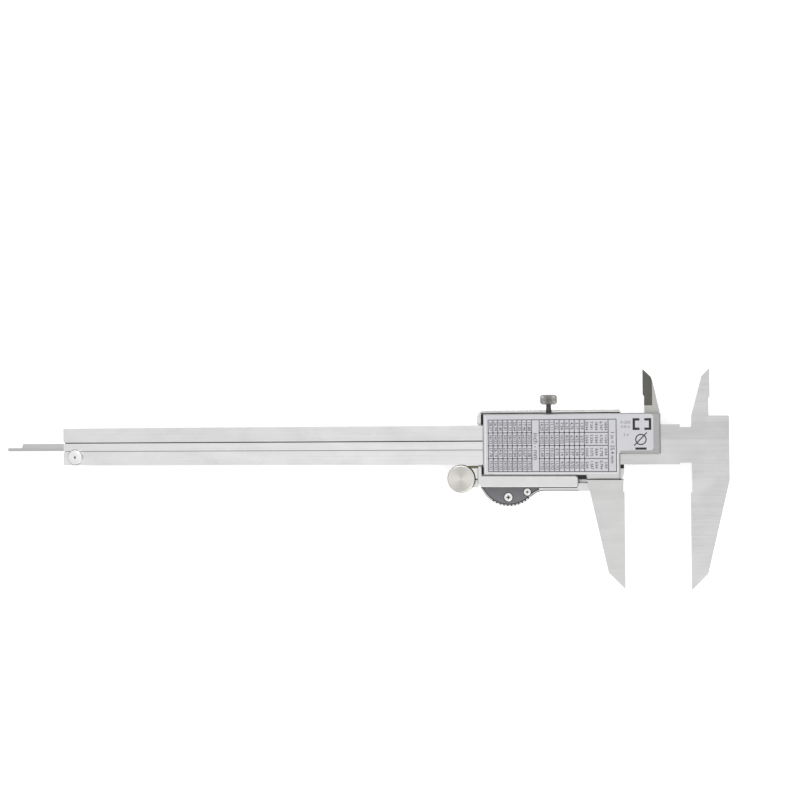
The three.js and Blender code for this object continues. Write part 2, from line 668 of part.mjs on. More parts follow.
function buttonPad() {
  const dome = [[0, -7.7], [1.4, -7.7], [2.4, -6], [2.4, -3.6], [0, -3.6]];
  const domes = Object.values(BUTTONS).map((x) => turned(dome, x, BUTTON.y, SMALL_ROUND));
  return joined(box(-60.4, -33.1, -14.4, -5.6, -4.0, BOARD.front - 0.03), ...domes);
}
add("button_pad", buttonPad(), rubber);

function coinCell() {
  const { x, y, r, back, front, shoulder } = CELL;
  const can = [[0, front], [r, front], [r, back - 0.8]];
  const cap = [[r - shoulder, back - 0.7], [r - shoulder, back], [0, back]];
  return turned([...can, ...cap], x, y, 40);
}
add("coin_cell", coinCell(), brightSteel);

function cellTray() {
  const bore = (r, z0, z1, sides) => barZ(CELL.x, CELL.y, r, z0, z1, sides);
  return cut(
    bore(CELL.r + 0.65, -8.8, BOARD.front - 0.05, 40),
    bore(CELL.r + 0.12, -10, -3.8, 40),
    bore(6, -5, 0, 24),
    box(-84, -78, 7.4, 13, -10, 0),
    box(-84, -78, -13, -7.4, -10, 0),
    box(-64, -60, -3, 3, -10, 0),
  );
}
add("cell_tray", cellTray(), blackPlastic);

const contactTop = BOARD.front - 0.03;
const cellDome = turned([[0, -4.75], [1.4, -4.75], [3.4, -3.4], [0, -3.4]], CELL.x, CELL.y, SMALL_ROUND);
add("cell_contact_negative", joined(box(-76.5, -68, -2, 2, -3.5, contactTop), cellDome), brass);
const sideSpring = box(-62.15, -61.75, -2.6, 2.6, -7.8, contactTop);
const springFoot = box(-62.15, -61.6, -2.6, 2.6, -3.6, contactTop);
add("cell_contact_positive", joined(sideSpring, springFoot), brass);

const doorLayer = (half, z0) => box(CASE.left + 0.05, DOOR.right, -half, half, z0, DOOR.back);
const doorPanel = doorLayer(DOOR.half, CASE.front);
const doorTongues = doorLayer(DOOR.lipHalf, DOOR.lipFront);
add("battery_door", joined(doorPanel, doorTongues), satinCase);

// ---- lock screw ----
function lockScrew() {
  const { x, shank, knob, knobBottom, knobTop, tip } = LOCK;
  const profile = [
    [0, knobBottom],
    [knob - 0.7, knobBottom],
    [knob, knobBottom + 0.7],
    [knob, knobTop - 0.6],
    [knob - 0.6, knobTop],
    [0, knobTop],
  ];
  const points = profile.map(([r, y]) => new THREE.Vector2(r, y));
  const head = new THREE.LatheGeometry(points, ROUND).translate(x, 0, 0);
  return joined(barY(x, 0, shank, tip, knobBottom + 1, SMALL_ROUND), head);
}
add("lock_screw", lockScrew(), darkSteel);
add("lock_shoe", barY(LOCK.x, 0, LOCK.shank - 0.05, LOCK.shoe, LOCK.tip - 0.02, SMALL_ROUND), brass);

// ---- thumb roller ----
const rollerBore = (r, z0, z1) => barZ(ROLLER.x, ROLLER.y, r, z0, z1);

// The disc and its shaft are one turned piece.
function thumbRoller() {
  const { x, y, r, front, back, shaft, shaftEnd } = ROLLER;
  const pin = [[0, shaftEnd], [shaft, shaftEnd], [shaft, front]];
  const rim = [[r - 0.3, front], [r, front + 0.3], [r, back - 0.4], [r - 0.4, back]];
  return turned([...pin, ...rim, [0, back + 0.05]], x, y, 40);
}
add("thumb_roller", thumbRoller(), brightSteel);

function rollerBracket() {
  const caseSide = CASE.left - 0.1;
  const arm = plate(
    outline([
      ...arc(ROLLER.x, ROLLER.y, 3.9, 105, 262, 8),
      [caseSide, BRACKET.bottom],
      [caseSide, BRACKET_TAIL.bottom],
      [BRACKET_TAIL.end, BRACKET_TAIL.bottom],
      [BRACKET_TAIL.end, BRACKET_TAIL.top],
      [caseSide, BRACKET_TAIL.top],
      [caseSide, BRACKET.top],
    ]),
    BRACKET.front,
    BRACKET.back,
  );
  // The block between the roller and the case stands up behind the arm.
  const block = cut(
    box(BRACKET.blockLeft, caseSide, -14.2, BRACKET.top, BRACKET.back - 0.1, 0.6),
    rollerBore(ROLLER.r + 0.25, BRACKET.front, 3),
  );
  const screwHole = barZ(BRACKET_SCREW.x, BRACKET_SCREW.y, BRACKET_SCREW.r + 0.15, -4, 0, HOLE);
  return cut(joined(arm, block), rollerBore(ROLLER.shaft + 0.08, -4, 0), screwHole);
}
add("roller_bracket", rollerBracket(), brightSteel);

function bracketScrew() {
  const { x, y, r, head } = BRACKET_SCREW;
  const under = BRACKET.front - 0.02;
  return turned([[0, -4.2], [head, -4.2], [head, under], [r, under], [r, 0.2], [0, 0.2]], x, y, SMALL_ROUND);
}
add("roller_bracket_screw", bracketScrew(), darkSteel);

// A clip with an open side, on the end of the roller's shaft.
function retainingRing() {
  const mouth = box(ROLLER.x - 0.8, ROLLER.x + 0.8, -20, ROLLER.y, -5, 0);
  return cut(rollerBore(2.6, -3.7, -3.15), rollerBore(ROLLER.shaft + 0.04, -5, 0), mouth);
}
add("roller_retaining_ring", retainingRing(), darkSteel);

// ---- the part's frame ----
const rodEnd = -BEAM_LENGTH - OPENING;
caliper.position.set(-(rodEnd + JAW_WIDTH) / 2, -(JAW_TIP + INSIDE_TIP) / 2, -CASE.front);

export default caliper;
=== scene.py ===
"""The looks of a metal-cased digital caliper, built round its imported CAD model. Lengths are in metres."""

import math

import bmesh
import bpy
from mathutils import Matrix, Vector


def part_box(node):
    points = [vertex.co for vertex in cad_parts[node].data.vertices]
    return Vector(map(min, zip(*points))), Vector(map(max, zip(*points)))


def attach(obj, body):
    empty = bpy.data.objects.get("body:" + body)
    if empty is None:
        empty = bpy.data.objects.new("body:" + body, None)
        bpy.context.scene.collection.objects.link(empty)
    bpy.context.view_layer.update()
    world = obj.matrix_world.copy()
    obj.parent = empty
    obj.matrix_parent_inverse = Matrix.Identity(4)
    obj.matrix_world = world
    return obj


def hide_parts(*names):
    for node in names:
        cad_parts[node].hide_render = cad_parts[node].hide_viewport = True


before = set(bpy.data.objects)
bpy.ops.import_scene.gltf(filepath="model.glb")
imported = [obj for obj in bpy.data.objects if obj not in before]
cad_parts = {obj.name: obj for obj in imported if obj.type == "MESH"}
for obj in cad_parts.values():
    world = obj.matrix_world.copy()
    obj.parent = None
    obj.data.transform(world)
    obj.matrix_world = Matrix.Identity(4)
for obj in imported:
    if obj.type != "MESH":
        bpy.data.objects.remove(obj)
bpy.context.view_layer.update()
MM = 0.001
INCH = 25.4

# ---- places, worked out from the frame ----
BEAM_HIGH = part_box("beam_with_fixed_jaws")[1]
LABEL_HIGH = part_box("rear_conversion_label")[1]
PLATE_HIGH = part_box("thumb_rest_back_plate")[1]
CASE_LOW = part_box("front_case")[0]
DOOR_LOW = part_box("battery_door")[0]
LCD_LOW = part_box("lcd_panel")[0]
FILM_LOW, FILM_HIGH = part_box("scale_cover_film")
ROLLER_LOW, ROLLER_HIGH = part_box("thumb_roller")
KNOB_LOW, KNOB_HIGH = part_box("lock_screw")

JAW_WIDTH = 15 * MM  # the fixed jaw's measuring face to its back
FACE_X = BEAM_HIGH.x - JAW_WIDTH  # the fixed measuring face
CENTRE_Y = (FILM_LOW.y + FILM_HIGH.y) / 2  # the beam's centre line
REAR_Z = BEAM_HIGH.z  # the beam's rear face

# in millimetres from the fixed measuring face and the beam's centre line
BUMP = {"x": -72.8, "y": -13.0, "r": 12.45, "fillet_x": -57.89, "fillet_y": -27.0, "fillet": 8.0}
WALL = {"left": -82.8, "right": -27.6, "top": 12.7, "bottom": -12.1, "tongue_bottom": -3.7}
RIM_INNER = -83.2  # the rim's inner face at the roller's end
RIM_GAP = 0.3  # between the rim and the slider's wall
RIM_BAR_RIGHT = -44.3
RIM_BAR_BOTTOM = -17.1
REST_PLATE_RIGHT = -60.6
REST_LEDGE = CASE_LOW.z + 7.15 * MM  # the height of the thumb rest's rear ledge
TOOTH_PITCH = 1.6  # of the grip
TEETH = 11
GRIP_ANGLES = (-124.2, -43.2)  # degrees about the middle of the bump


def at(x, y, z=0.0):
    """A point in mm: x from the fixed measuring face, y from the beam's centre, z from its rear."""
    return Vector((FACE_X + x * MM, CENTRE_Y + y * MM, REAR_Z + z * MM))


# ---- node materials ----
class Nodes:
    """A short way to write a material's node tree."""

    def __init__(self, name):
        self.material = bpy.data.materials.new(name)
        self.material.use_nodes = True
        self.tree = self.material.node_tree
        self.shader = self.tree.nodes["Principled BSDF"]
        self.coords = self.tree.nodes.new("ShaderNodeTexCoord").outputs["Object"]
        self.axes = None

    def set(self, **values):
        """Values on the shader's own sockets, with _ for a space in a socket's name."""
        for name, value in values.items():
            self.shader.inputs[name.replace("_", " ")].default_value = value

    def link(self, source, target):
        self.tree.links.new(source, self.shader.inputs[target] if isinstance(target, str) else target)

    def node(self, kind, inputs=(), **settings):
        made = self.tree.nodes.new("ShaderNode" + kind)
        for name, value in settings.items():
            setattr(made, name, value)
        for key, value in dict(inputs).items():
            if isinstance(value, bpy.types.NodeSocket):
                self.tree.links.new(value, made.inputs[key])
            else:
                made.inputs[key].default_value = value
        return made

    def math(self, operation, a, b=0.0, c=0.0):
        return self.node("Math", {0: a, 1: b, 2: c}, operation=operation).outputs[0]

    def from_point(self, origin):
        """Millimetres along x, y and z from a point."""
        offset = self.node("VectorMath", {0: self.coords, 1: tuple(origin)}, operation="SUBTRACT").outputs[0]
        parts = self.node("SeparateXYZ", {0: offset}).outputs
        return {axis: self.math("MULTIPLY", part, 1000.0) for axis, part in zip("xyz", parts)}

    def polar(self, origin):
        """Radius in millimetres and angle in radians about a line along z."""
        place = self.from_point(origin)
        squares = self.math("ADD", self.math("POWER", place["x"], 2.0), self.math("POWER", place["y"], 2.0))
        return self.math("SQRT", squares), self.math("ARCTAN2", place["y"], place["x"])

    def stretched(self, scale):
        """Object coordinates in millimetres, multiplied by a scale on each axis."""
        return self.node("Mapping", {"Vector": self.coords, "Scale": [1000 * s for s in scale]}).outputs[0]

    def noise(self, scale, detail=3.0, roughness=0.55, distortion=0.0):
        inputs = {
            "Vector": self.stretched(scale),
            "Scale": 1.0,
            "Detail": detail,
            "Roughness": roughness,
            "Distortion": distortion,
        }
        return self.node("TexNoise", inputs).outputs["Fac"]

    def spread(self, value, low, high, out_low, out_high):
        """A value from one range to another, held at the ends."""
        inputs = {"Value": value, "From Min": low, "From Max": high, "To Min": out_low, "To Max": out_high}
        return self.node("MapRange", inputs).outputs["Result"]

    def within(self, value, low, high, soft=0.05):
        """1 where the value is between low and high, 0 outside."""
        rise = self.spread(value, low - soft, low + soft, 0.0, 1.0)
        fall = self.spread(value, high - soft, high + soft, 1.0, 0.0)
        return self.math("MULTIPLY", rise, fall)

    def zone(self, soft=0.05, **ranges):
        """1 inside ranges of x, y and z in millimetres from the datum that at() uses, 0 outside."""
        if self.axes is None:
            self.axes = self.from_point(at(0, 0))
        mask = 1.0
        for axis, (low, high) in ranges.items():
            mask = self.math("MULTIPLY", self.within(self.axes[axis], low, high, soft), mask)
        return mask

    def ramp(self, value, *stops):
        """Colours by value: each stop is (place, (r, g, b))."""
        made = self.node("ValToRGB", {"Fac": value})
        elements = made.color_ramp.elements
        while len(elements) < len(stops):
            elements.new(0.5)
        for element, (place, colour) in zip(elements, stops):
            element.position = place
            element.color = (*colour, 1.0)
        return made.outputs["Color"]

    def clouded(self, value, colour, contrast):
        """A colour that gets a little darker and lighter with a noise value."""
        return self.ramp(value, (0.3, shade(colour, 1 - contrast)), (0.7, shade(colour, 1 + contrast)))

    def blend(self, factor, a, b, how="MIX"):
        made = self.node("Mix", data_type="RGBA", blend_type=how)
        for socket, value in zip((made.inputs[0], made.inputs[6], made.inputs[7]), (factor, a, b)):
            if isinstance(value, bpy.types.NodeSocket):
                self.tree.links.new(value, socket)
            else:
                socket.default_value = value if isinstance(value, float) else (*value, 1.0)
        return made.outputs[2]

    def tinted(self, colour, zones):
        """The colour multiplied by a tint in each zone: zones lists (ranges, (r, g, b))."""
        for ranges, tint in zones:
            colour = self.blend(self.zone(**ranges), colour, tint, "MULTIPLY")
        return colour

    def bump(self, height, strength, distance=0.02 * MM):
        inputs = {"Height": height, "Strength": strength, "Distance": distance}
        self.link(self.node("Bump", inputs).outputs["Normal"], "Normal")


def shade(colour, factor):
    return tuple(min(1.0, c * factor) for c in colour)


def brushed(name, colour, roughness, grain=(0.05, 6.0, 6.0), contrast=0.03, smudge=0.06, zones=()):
    """Metal with fine grinding lines along the axis of the smallest grain, and faint wide smudges."""
    n = Nodes(name)
    lines = n.noise(grain, detail=4.0, roughness=0.7)
    streaks = n.noise([g * 0.22 for g in grain], detail=2.0)
    patches = n.noise((0.06, 0.11, 0.11), detail=3.0, distortion=0.6)
    mixed = n.math("MULTIPLY_ADD", streaks, 0.5, n.math("MULTIPLY", lines, 0.5))
    tone = n.clouded(mixed, colour, contrast)
    cloud = n.ramp(patches, (0.3, (1 - smudge,) * 3), (0.7, (1.0, 1.0, 1.0)))
    n.link(n.tinted(n.blend(1.0, tone, cloud, "MULTIPLY"), zones), "Base Color")
    n.set(Metallic=1.0, IOR=2.2)
    rough = n.spread(mixed, 0.3, 0.7, roughness * 0.8, roughness * 1.25)
    n.link(n.math("MULTIPLY_ADD", patches, 0.08, n.math("SUBTRACT", rough, 0.04)), "Roughness")
    n.bump(lines, 0.12)
    return n.material


def satin(name, colour, roughness, grain=10.0, zones=(), marks=None):
    """Plated or blasted metal: an even fine grain with a little cloud in its gloss.

    marks, where given, is a function of the nodes and the tone that adds to the colour.
    """
    n = Nodes(name)
    fine = n.noise((grain,) * 3, detail=3.0)
    wide = n.noise((0.12, 0.12, 0.2), detail=3.0, distortion=0.5)
    tone = n.tinted(n.clouded(wide, colour, 0.03), zones)
    n.link(marks(n, tone) if marks else tone, "Base Color")
    n.set(Metallic=1.0, IOR=2.2)
    n.link(n.spread(wide, 0.3, 0.7, roughness * 0.85, roughness * 1.2), "Roughness")
    n.bump(fine, 0.1, 0.01 * MM)
    return n.material


def moulded(name, colour, roughness, contrast=0.08):
    """Plastic or rubber with a spark-eroded texture."""
    n = Nodes(name)
    fine = n.noise((9.0, 9.0, 9.0), detail=2.0)
    wide = n.noise((0.3, 0.3, 0.3), detail=3.0)
    n.link(n.clouded(wide, colour, contrast), "Base Color")
    n.link(n.spread(fine, 0.3, 0.7, roughness * 0.85, min(1.0, roughness * 1.15)), "Roughness")
    n.bump(fine, 0.15, 0.02 * MM)
    return n.material


def turned_metal(name, colour, roughness, centre, pitch, contrast):
    """Metal faced on a lathe: fine rings, and two fans of light painted into its colour about a centre line
    along z.
    """
    n = Nodes(name)
    radius, angle = n.polar(centre)
    ring = n.math("SINE", n.math("MULTIPLY", radius, 2 * math.pi / pitch))
    jitter = n.noise((1.2, 1.2, 1.2), detail=3.0)
    # painted highlight: two bright fans and two dark ones, by angle about the centre
    fan = n.math("MULTIPLY_ADD", n.math("COSINE", n.math("MULTIPLY", angle, 2.0)), 0.4, 0.4)
    painted_fan_highlight = n.math("MULTIPLY_ADD", jitter, 0.3, fan)
    tone = n.ramp(painted_fan_highlight, (0.1, shade(colour, 1 - contrast)), (0.95, shade(colour, 1 + contrast)))
    n.link(tone, "Base Color")
    n.set(Metallic=1.0, IOR=2.2)
    n.link(n.spread(ring, -1.0, 1.0, roughness * 0.8, roughness * 1.2), "Roughness")
    n.bump(n.math("MULTIPLY_ADD", jitter, 0.8, ring), 0.25, 0.006 * MM)
    return n.material


def rim_serrations(n, colour):
    """Painted shade at the foot of the grip's teeth, where they run out on the thumb rest's rear edge."""
    radius, angle = n.polar(at(BUMP["x"], BUMP["y"]))
    first, last = (math.radians(a) for a in GRIP_ANGLES)
    teeth_per_radian = BUMP["r"] / TOOTH_PITCH
    teeth = n.math("FRACT", n.math("MULTIPLY", n.math("SUBTRACT", angle, first), teeth_per_radian))
    root_shade = n.math("MULTIPLY", n.within(teeth, 0.08, 0.45, 0.06), n.within(radius, 11.6, 13.0, 0.08))
    span = n.within(angle, first, last, 0.02)
    return n.blend(n.math("MULTIPLY", root_shade, span), colour, (0.10, 0.10, 0.10), "MULTIPLY")


def printed_film(name, colour, roughness=0.42):
    """Printed plastic film: a faint orange peel and a little cloud in its tone."""
    n = Nodes(name)
    peel = n.noise((1.6, 1.6, 1.6), detail=2.0)
    wide = n.noise((0.09, 0.09, 0.09), detail=3.0)
    n.link(n.clouded(wide, colour, 0.03), "Base Color")
    n.link(n.spread(peel, 0.3, 0.7, roughness * 0.9, roughness * 1.1), "Roughness")
    n.set(Specular_IOR_Level=0.4)
    n.bump(peel, 0.08, 0.02 * MM)
    return n.material


def ink(name, colour, roughness=0.5):
    """Screen-printed ink with slightly uneven cover."""
    n = Nodes(name)
    cover = n.noise((6.0, 6.0, 6.0), detail=2.0)
    n.link(n.clouded(cover, colour, 0.2), "Base Color")
    n.link(n.spread(cover, 0.3, 0.7, roughness * 0.9, roughness * 1.1), "Roughness")
    return n.material


def clear_window(name):
    """A clear moulded window that lets straight rays through, with a faint moulding texture."""
    n = Nodes(name)
    wide = n.noise((0.2, 0.2, 0.2), detail=2.0)
    n.link(n.clouded(wide, (0.94, 0.96, 0.96), 0.03), "Base Color")
    n.link(n.spread(wide, 0.3, 0.7, 0.03, 0.07), "Roughness")
    n.set(Alpha=0.16, IOR=1.49)
    return n.material


def circuit(name, colour, trace_colour):
    """Solder mask over copper tracks."""
    n = Nodes(name)
    bricks = n.node(
        "TexBrick",
        {"Vector": n.stretched((1.0, 1.0, 1.0)), "Scale": 0.55, "Mortar Size": 0.03, "Mortar Smooth": 0.1},
    )
    fine = n.noise((0.8, 0.8, 0.8), detail=4.0)
    base = n.clouded(fine, colour, 0.15)
    n.link(n.blend(bricks.outputs["Fac"], base, trace_colour), "Base Color")
    n.set(Coat_Weight=0.3, Roughness=0.4)
    n.bump(bricks.outputs["Fac"], 0.3, 0.03 * MM)
    return n.material


# ---- mesh helpers ----
SHARP_ANGLE = math.radians(28)


def mesh_object(name, bm, *materials):
    mesh = bpy.data.meshes.new(name)
    bmesh.ops.recalc_face_normals(bm, faces=bm.faces)
    bm.to_mesh(mesh)
    bm.free()
    made = bpy.data.objects.new(name, mesh)
    bpy.context.scene.collection.objects.link(made)
    for material in materials:
        mesh.materials.append(material)
    return made


def smooth(made):
    """Smooth shading, but for sharp edges and the wide flat faces that a cut leaves."""
    for polygon in made.data.polygons:
        polygon.use_smooth = len(polygon.vertices) <= 4
    made.data.set_sharp_from_angle(angle=SHARP_ANGLE)
    return made


def add_block(bm, low, high):
    """A closed block from its lowest and highest corners."""
    low, high = Vector(low), Vector(high)
    middle, size = (low + high) / 2, high - low
    matrix = Matrix.Translation(middle) @ Matrix.Diagonal((*size, 1.0))
    return bmesh.ops.create_cube(bm, size=1.0, matrix=matrix)["verts"]


def add_bar(bm, x0, x1, y0, y1, z0, z1):
    """A block between places in millimetres on x and y, and heights z0 and z1 in metres."""
    low, high = at(x0, y0), at(x1, y1)
    add_block(bm, (low.x, low.y, z0), (high.x, high.y, z1))


def add_ribbon(bm, points, width, z0, z1):
    """A closed strip of a given width along points (x, y) in millimetres, on the left of their direction."""
    rows = []
    for i, (x, y) in enumerate(points):
        before = Vector(points[max(i - 1, 0)])
        after = Vector(points[min(i + 1, len(points) - 1)])
        along = (after - before).normalized()
        inner = (x - along.y * width, y + along.x * width)
        corners = [at(x, y), at(*inner)]
        rows.append([bm.verts.new((p.x, p.y, z)) for z in (z0, z1) for p in corners])
    for a, b in zip(rows, rows[1:]):
        for i, j in ((0, 1), (1, 3), (3, 2), (2, 0)):
            bm.faces.new((a[i], a[j], b[j], b[i]))
    for row in (rows[0], rows[-1]):
        bm.faces.new((row[0], row[1], row[3], row[2]))


def arc_points(x, y, r, start, end, steps):
    """Points on an arc, with angles in degrees."""
    turns = [math.radians(start + (end - start) * i / steps) for i in range(steps + 1)]
    return [(x + r * math.cos(a), y + r * math.sin(a)) for a in turns]


def axis_matrix(origin, axis):
    """Places a piece that was made about +z at origin, about another axis."""
    turn = Vector((0, 0, 1)).rotation_difference(Vector(axis))
    return Matrix.Translation(origin) @ turn.to_matrix().to_4x4()


def lathe(name, profile, origin, axis, materials, sides, teeth=0, tooth_depth=0.0):
    """A turned piece: profile lists (radius, height, kind), from the axis and back to it.

    Kind 1 is knurled, and a face takes the second material when both its rings have a kind of 1 or 2.
    """
    bm = bmesh.new()
    rings = []
    for radius, height, kind in profile:
        if radius == 0:
            rings.append([bm.verts.new((0, 0, height))])
            continue
        ring = []
        for i in range(sides):
            a = 2 * math.pi * i / sides
            inset = tooth_depth * (0.5 - 0.5 * math.cos(teeth * a)) if kind == 1 else 0.0
            r = radius - inset
            ring.append(bm.verts.new((r * math.cos(a), r * math.sin(a), height)))
        rings.append(ring)
    kinds = [kind for _, _, kind in profile]
    for low, high, kind_low, kind_high in zip(rings, rings[1:], kinds, kinds[1:]):
        for i in range(sides):
            j = i + 1
            corners = [low[i % len(low)], low[j % len(low)], high[j % len(high)], high[i % len(high)]]
            unique = list(dict.fromkeys(corners))
            if len(unique) > 2:
                face = bm.faces.new(unique)
                face.material_index = 1 if kind_low and kind_high and len(materials) > 1 else 0
    bm.transform(axis_matrix(origin, axis))
    return smooth(mesh_object(name, bm, *materials))


def carve(made, cutter):
    """Cuts one object out of another, gives the cut faces the cutter's material and removes the cutter."""
    modifier = made.modifiers.new("carve", "BOOLEAN")
    modifier.operation = "DIFFERENCE"
    modifier.solver = "EXACT"
    modifier.material_mode = "TRANSFER"
    modifier.object = cutter
    bpy.context.view_layer.update()
    done = made.evaluated_get(bpy.context.evaluated_depsgraph_get())
    mesh = bpy.data.meshes.new_from_object(done)
    made.modifiers.clear()
    made.data = mesh
    bpy.data.objects.remove(cutter)
    return made


def finish_cad(name, material, edge, segments=2, clamp=True):
    """A CAD node with its material, its flat faces made whole and its edges broken."""
    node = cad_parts[name]
    node.data.materials.clear()
    node.data.materials.append(material)
    for polygon in node.data.polygons:
        polygon.use_smooth = True
    flat = node.modifiers.new("flat_faces", "DECIMATE")
    flat.decimate_type = "DISSOLVE"
    flat.angle_limit = math.radians(0.5)
    bevel = node.modifiers.new("broken_edges", "BEVEL")
    bevel.width = edge
    bevel.segments = segments
    bevel.use_clamp_overlap = clamp
    bevel.limit_method = "ANGLE"
    bevel.angle_limit = math.radians(30)
    bevel.harden_normals = True
    bevel.miter_outer = "MITER_ARC"


def add_text(bm, words, size, origin, thickness, turn=0.0, front=False, bold=0.0):
    """Raised characters with their middle at origin, turned in degrees.

    front faces them to the display side.
    """
    curve = bpy.data.curves.new("words", "FONT")
    curve.body = words
    curve.size = size
    curve.extrude = thickness / 2
    curve.offset = bold
    curve.resolution_u = 3
    curve.align_x = "CENTER"
    curve.align_y = "CENTER"
    holder = bpy.data.objects.new("words", curve)
    mesh = bpy.data.meshes.new_from_object(holder)
    face = Matrix.Rotation(math.pi, 4, "Y") if front else Matrix.Identity(4)
    mesh.transform(Matrix.Translation(origin) @ face @ Matrix.Rotation(math.radians(turn), 4, "Z"))
    bm.from_mesh(mesh)
    bpy.data.objects.remove(holder)
    bpy.data.curves.remove(curve)
    bpy.data.meshes.remove(mesh)


def dress(piece, body):
    """Gives a piece its body."""
    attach(piece, body)


# ---- the materials ----
BEAM_STEEL = (0.86, 0.86, 0.85)
SLIDER_STEEL = (0.66, 0.66, 0.65)
# painted shade: the near-black that zones paint into gaps, grooves and recesses
PAINTED_GAP_SHADE = (0.05, 0.05, 0.05)

# Each zone is (ranges in the millimetres of at(), tint).
BEAM_ZONES = (
    ({"x": (-40, 20)}, (0.80, 0.80, 0.80)),  # the fixed jaws and the beam beside them
    ({"y": (1.95, 9)}, (0.94, 0.94, 0.945)),  # above the rod's groove
    ({"x": (-267, -13), "y": (-2.1, 1.95), "z": (-1.9, -0.08)}, PAINTED_GAP_SHADE),  # the rod's groove, darkened as painted shade
)
ROD_ZONES = (
    ({"x": (-293, -266)}, (0.74, 0.74, 0.74)),  # past the beam's end
    ({"x": (-293, -266), "y": (-2, -0.4)}, (0.9, 0.9, 0.9)),
)
SLIDER_ZONES = (
    ({"x": (-27.5, -10), "z": (0.05, 2.5)}, (0.68, 0.68, 0.68)),  # the tongue's border, darkened as painted shade
    ({"x": (-20, -14.7), "y": (15.65, 31)}, (0.27, 0.27, 0.25)),  # the inside blade's bevel, darkened as a painted dark reflection
    ({"x": (-20, -11), "y": (12.8, 31)}, (0.8, 0.79, 0.76)),  # the whole inside blade
    ({"x": (-42, -25), "y": (-14.2, -13.62), "z": (-4, 0.02)}, PAINTED_GAP_SHADE),  # the groove under the foot, darkened as painted shade
    ({"x": (-27.55, -26), "y": (-9.6, -7.9), "z": (-4, 0.1)}, PAINTED_GAP_SHADE),  # the rail's end by the wall, darkened as painted shade
    ({"x": (-83, -82.4), "y": (8.3, 12.5)}, PAINTED_GAP_SHADE),  # painted shade along the wall's edge inside the rim, on this line and the next
    ({"x": (-83, -82.4), "y": (-12, -8.8)}, PAINTED_GAP_SHADE),
)
BRACKET_ZONES = (
    ({"x": (-90, -85), "y": (-9.6, -9.1)}, (0.3, 0.29, 0.2)),  # its upper edge
    # painted shade on a small strip of the bracket
    ({"x": (-87, -85), "y": (-14.5, -13.8)}, PAINTED_GAP_SHADE),
)

beam_steel = brushed("ground_steel_beam", BEAM_STEEL, 0.30, smudge=0.1, zones=BEAM_ZONES)
slider_steel = brushed("ground_steel_slider", SLIDER_STEEL, 0.34, grain=(0.08, 4.0, 4.0), zones=SLIDER_ZONES)
rod_steel = brushed("ground_steel_rod", (0.84, 0.84, 0.83), 0.30, grain=(0.05, 8.0, 8.0), zones=ROD_ZONES)
# the case's marks paint shade at the foot of the grip's teeth
rim_metal = satin("satin_plated_case", (0.79, 0.79, 0.78), 0.24, grain=9.0, marks=rim_serrations)
door_metal = brushed("brushed_battery_door", (0.80, 0.80, 0.79), 0.34, grain=(4.0, 0.05, 4.0))
bracket_metal = satin("plated_bracket", (0.86, 0.85, 0.82), 0.24, zones=BRACKET_ZONES)
knob_chrome_and_painted_shade = satin("dark_chrome_knob_and_painted_shade", (0.36, 0.35, 0.33), 0.2)
olive_metal = satin("olive_bracket_lip", (0.15, 0.14, 0.09), 0.35)
# black metal for the lock screw's thread, and painted shade on the walls of cut slots and recesses
thread_and_recess_shade = satin("black_thread_and_painted_recess_shade", (0.09, 0.09, 0.085), 0.3)
dark_metal = satin("dark_plated_screws", (0.40, 0.39, 0.37), 0.3)
screw_metal = satin("bright_plated_screws", (0.92, 0.92, 0.90), 0.22)
# near-black metal that paints shade: the roller's knurled rim, the edges of the thumb rest's screws and the
# thumb rest's shade lines
rim_shadow = satin("painted_shade_dark_metal", (0.08, 0.075, 0.065), 0.35)
cell_metal = brushed("coin_cell_steel", (0.82, 0.82, 0.81), 0.28, grain=(2.0, 0.06, 2.0))
rest_paint = moulded("grey_thumb_rest_plate", (0.165, 0.165, 0.178), 0.42, contrast=0.06)
label_film = printed_film("label_film", (0.61, 0.61, 0.64))
white_ink = ink("white_line_ink", (0.86, 0.86, 0.87))
label_ink = ink("label_ink", (0.10, 0.10, 0.11))
black_ink = ink("black_symbol_ink", (0.012, 0.012, 0.013))
pale_ink = ink("pale_grey_ink", (0.20, 0.20, 0.21))
scale_film = printed_film("scale_film", (0.018, 0.022, 0.03), 0.3)
scale_ink = ink("scale_ink", (0.72, 0.73, 0.74))
board_mask = circuit("solder_mask", (0.02, 0.12, 0.05), (0.04, 0.22, 0.09))
chip_plastic = moulded("chip_plastic", (0.015, 0.015, 0.017), 0.55)
button_plastic = moulded("button_plastic", (0.022, 0.022, 0.026), 0.45)
tray_plastic = moulded("tray_plastic", (0.03, 0.03, 0.033), 0.55)
pad_rubber = moulded("silicone_rubber", (0.07, 0.07, 0.075), 0.75)
# near-black strips that paint shade into gaps
gap_shade_black = moulded("black_painted_gap_shade", (0.012, 0.012, 0.013), 0.7)
gib_bronze = brushed("gib_bronze", (0.62, 0.42, 0.2), 0.32, contrast=0.08)
contact_brass = brushed("contact_brass", (0.75, 0.6, 0.26), 0.26, contrast=0.06)
window_plastic = clear_window("display_window_plastic")
lcd_glass = printed_film("lcd_glass", (0.34, 0.37, 0.31), 0.2)
segment_ink = ink("lcd_segments", (0.006, 0.007, 0.007), 0.6)

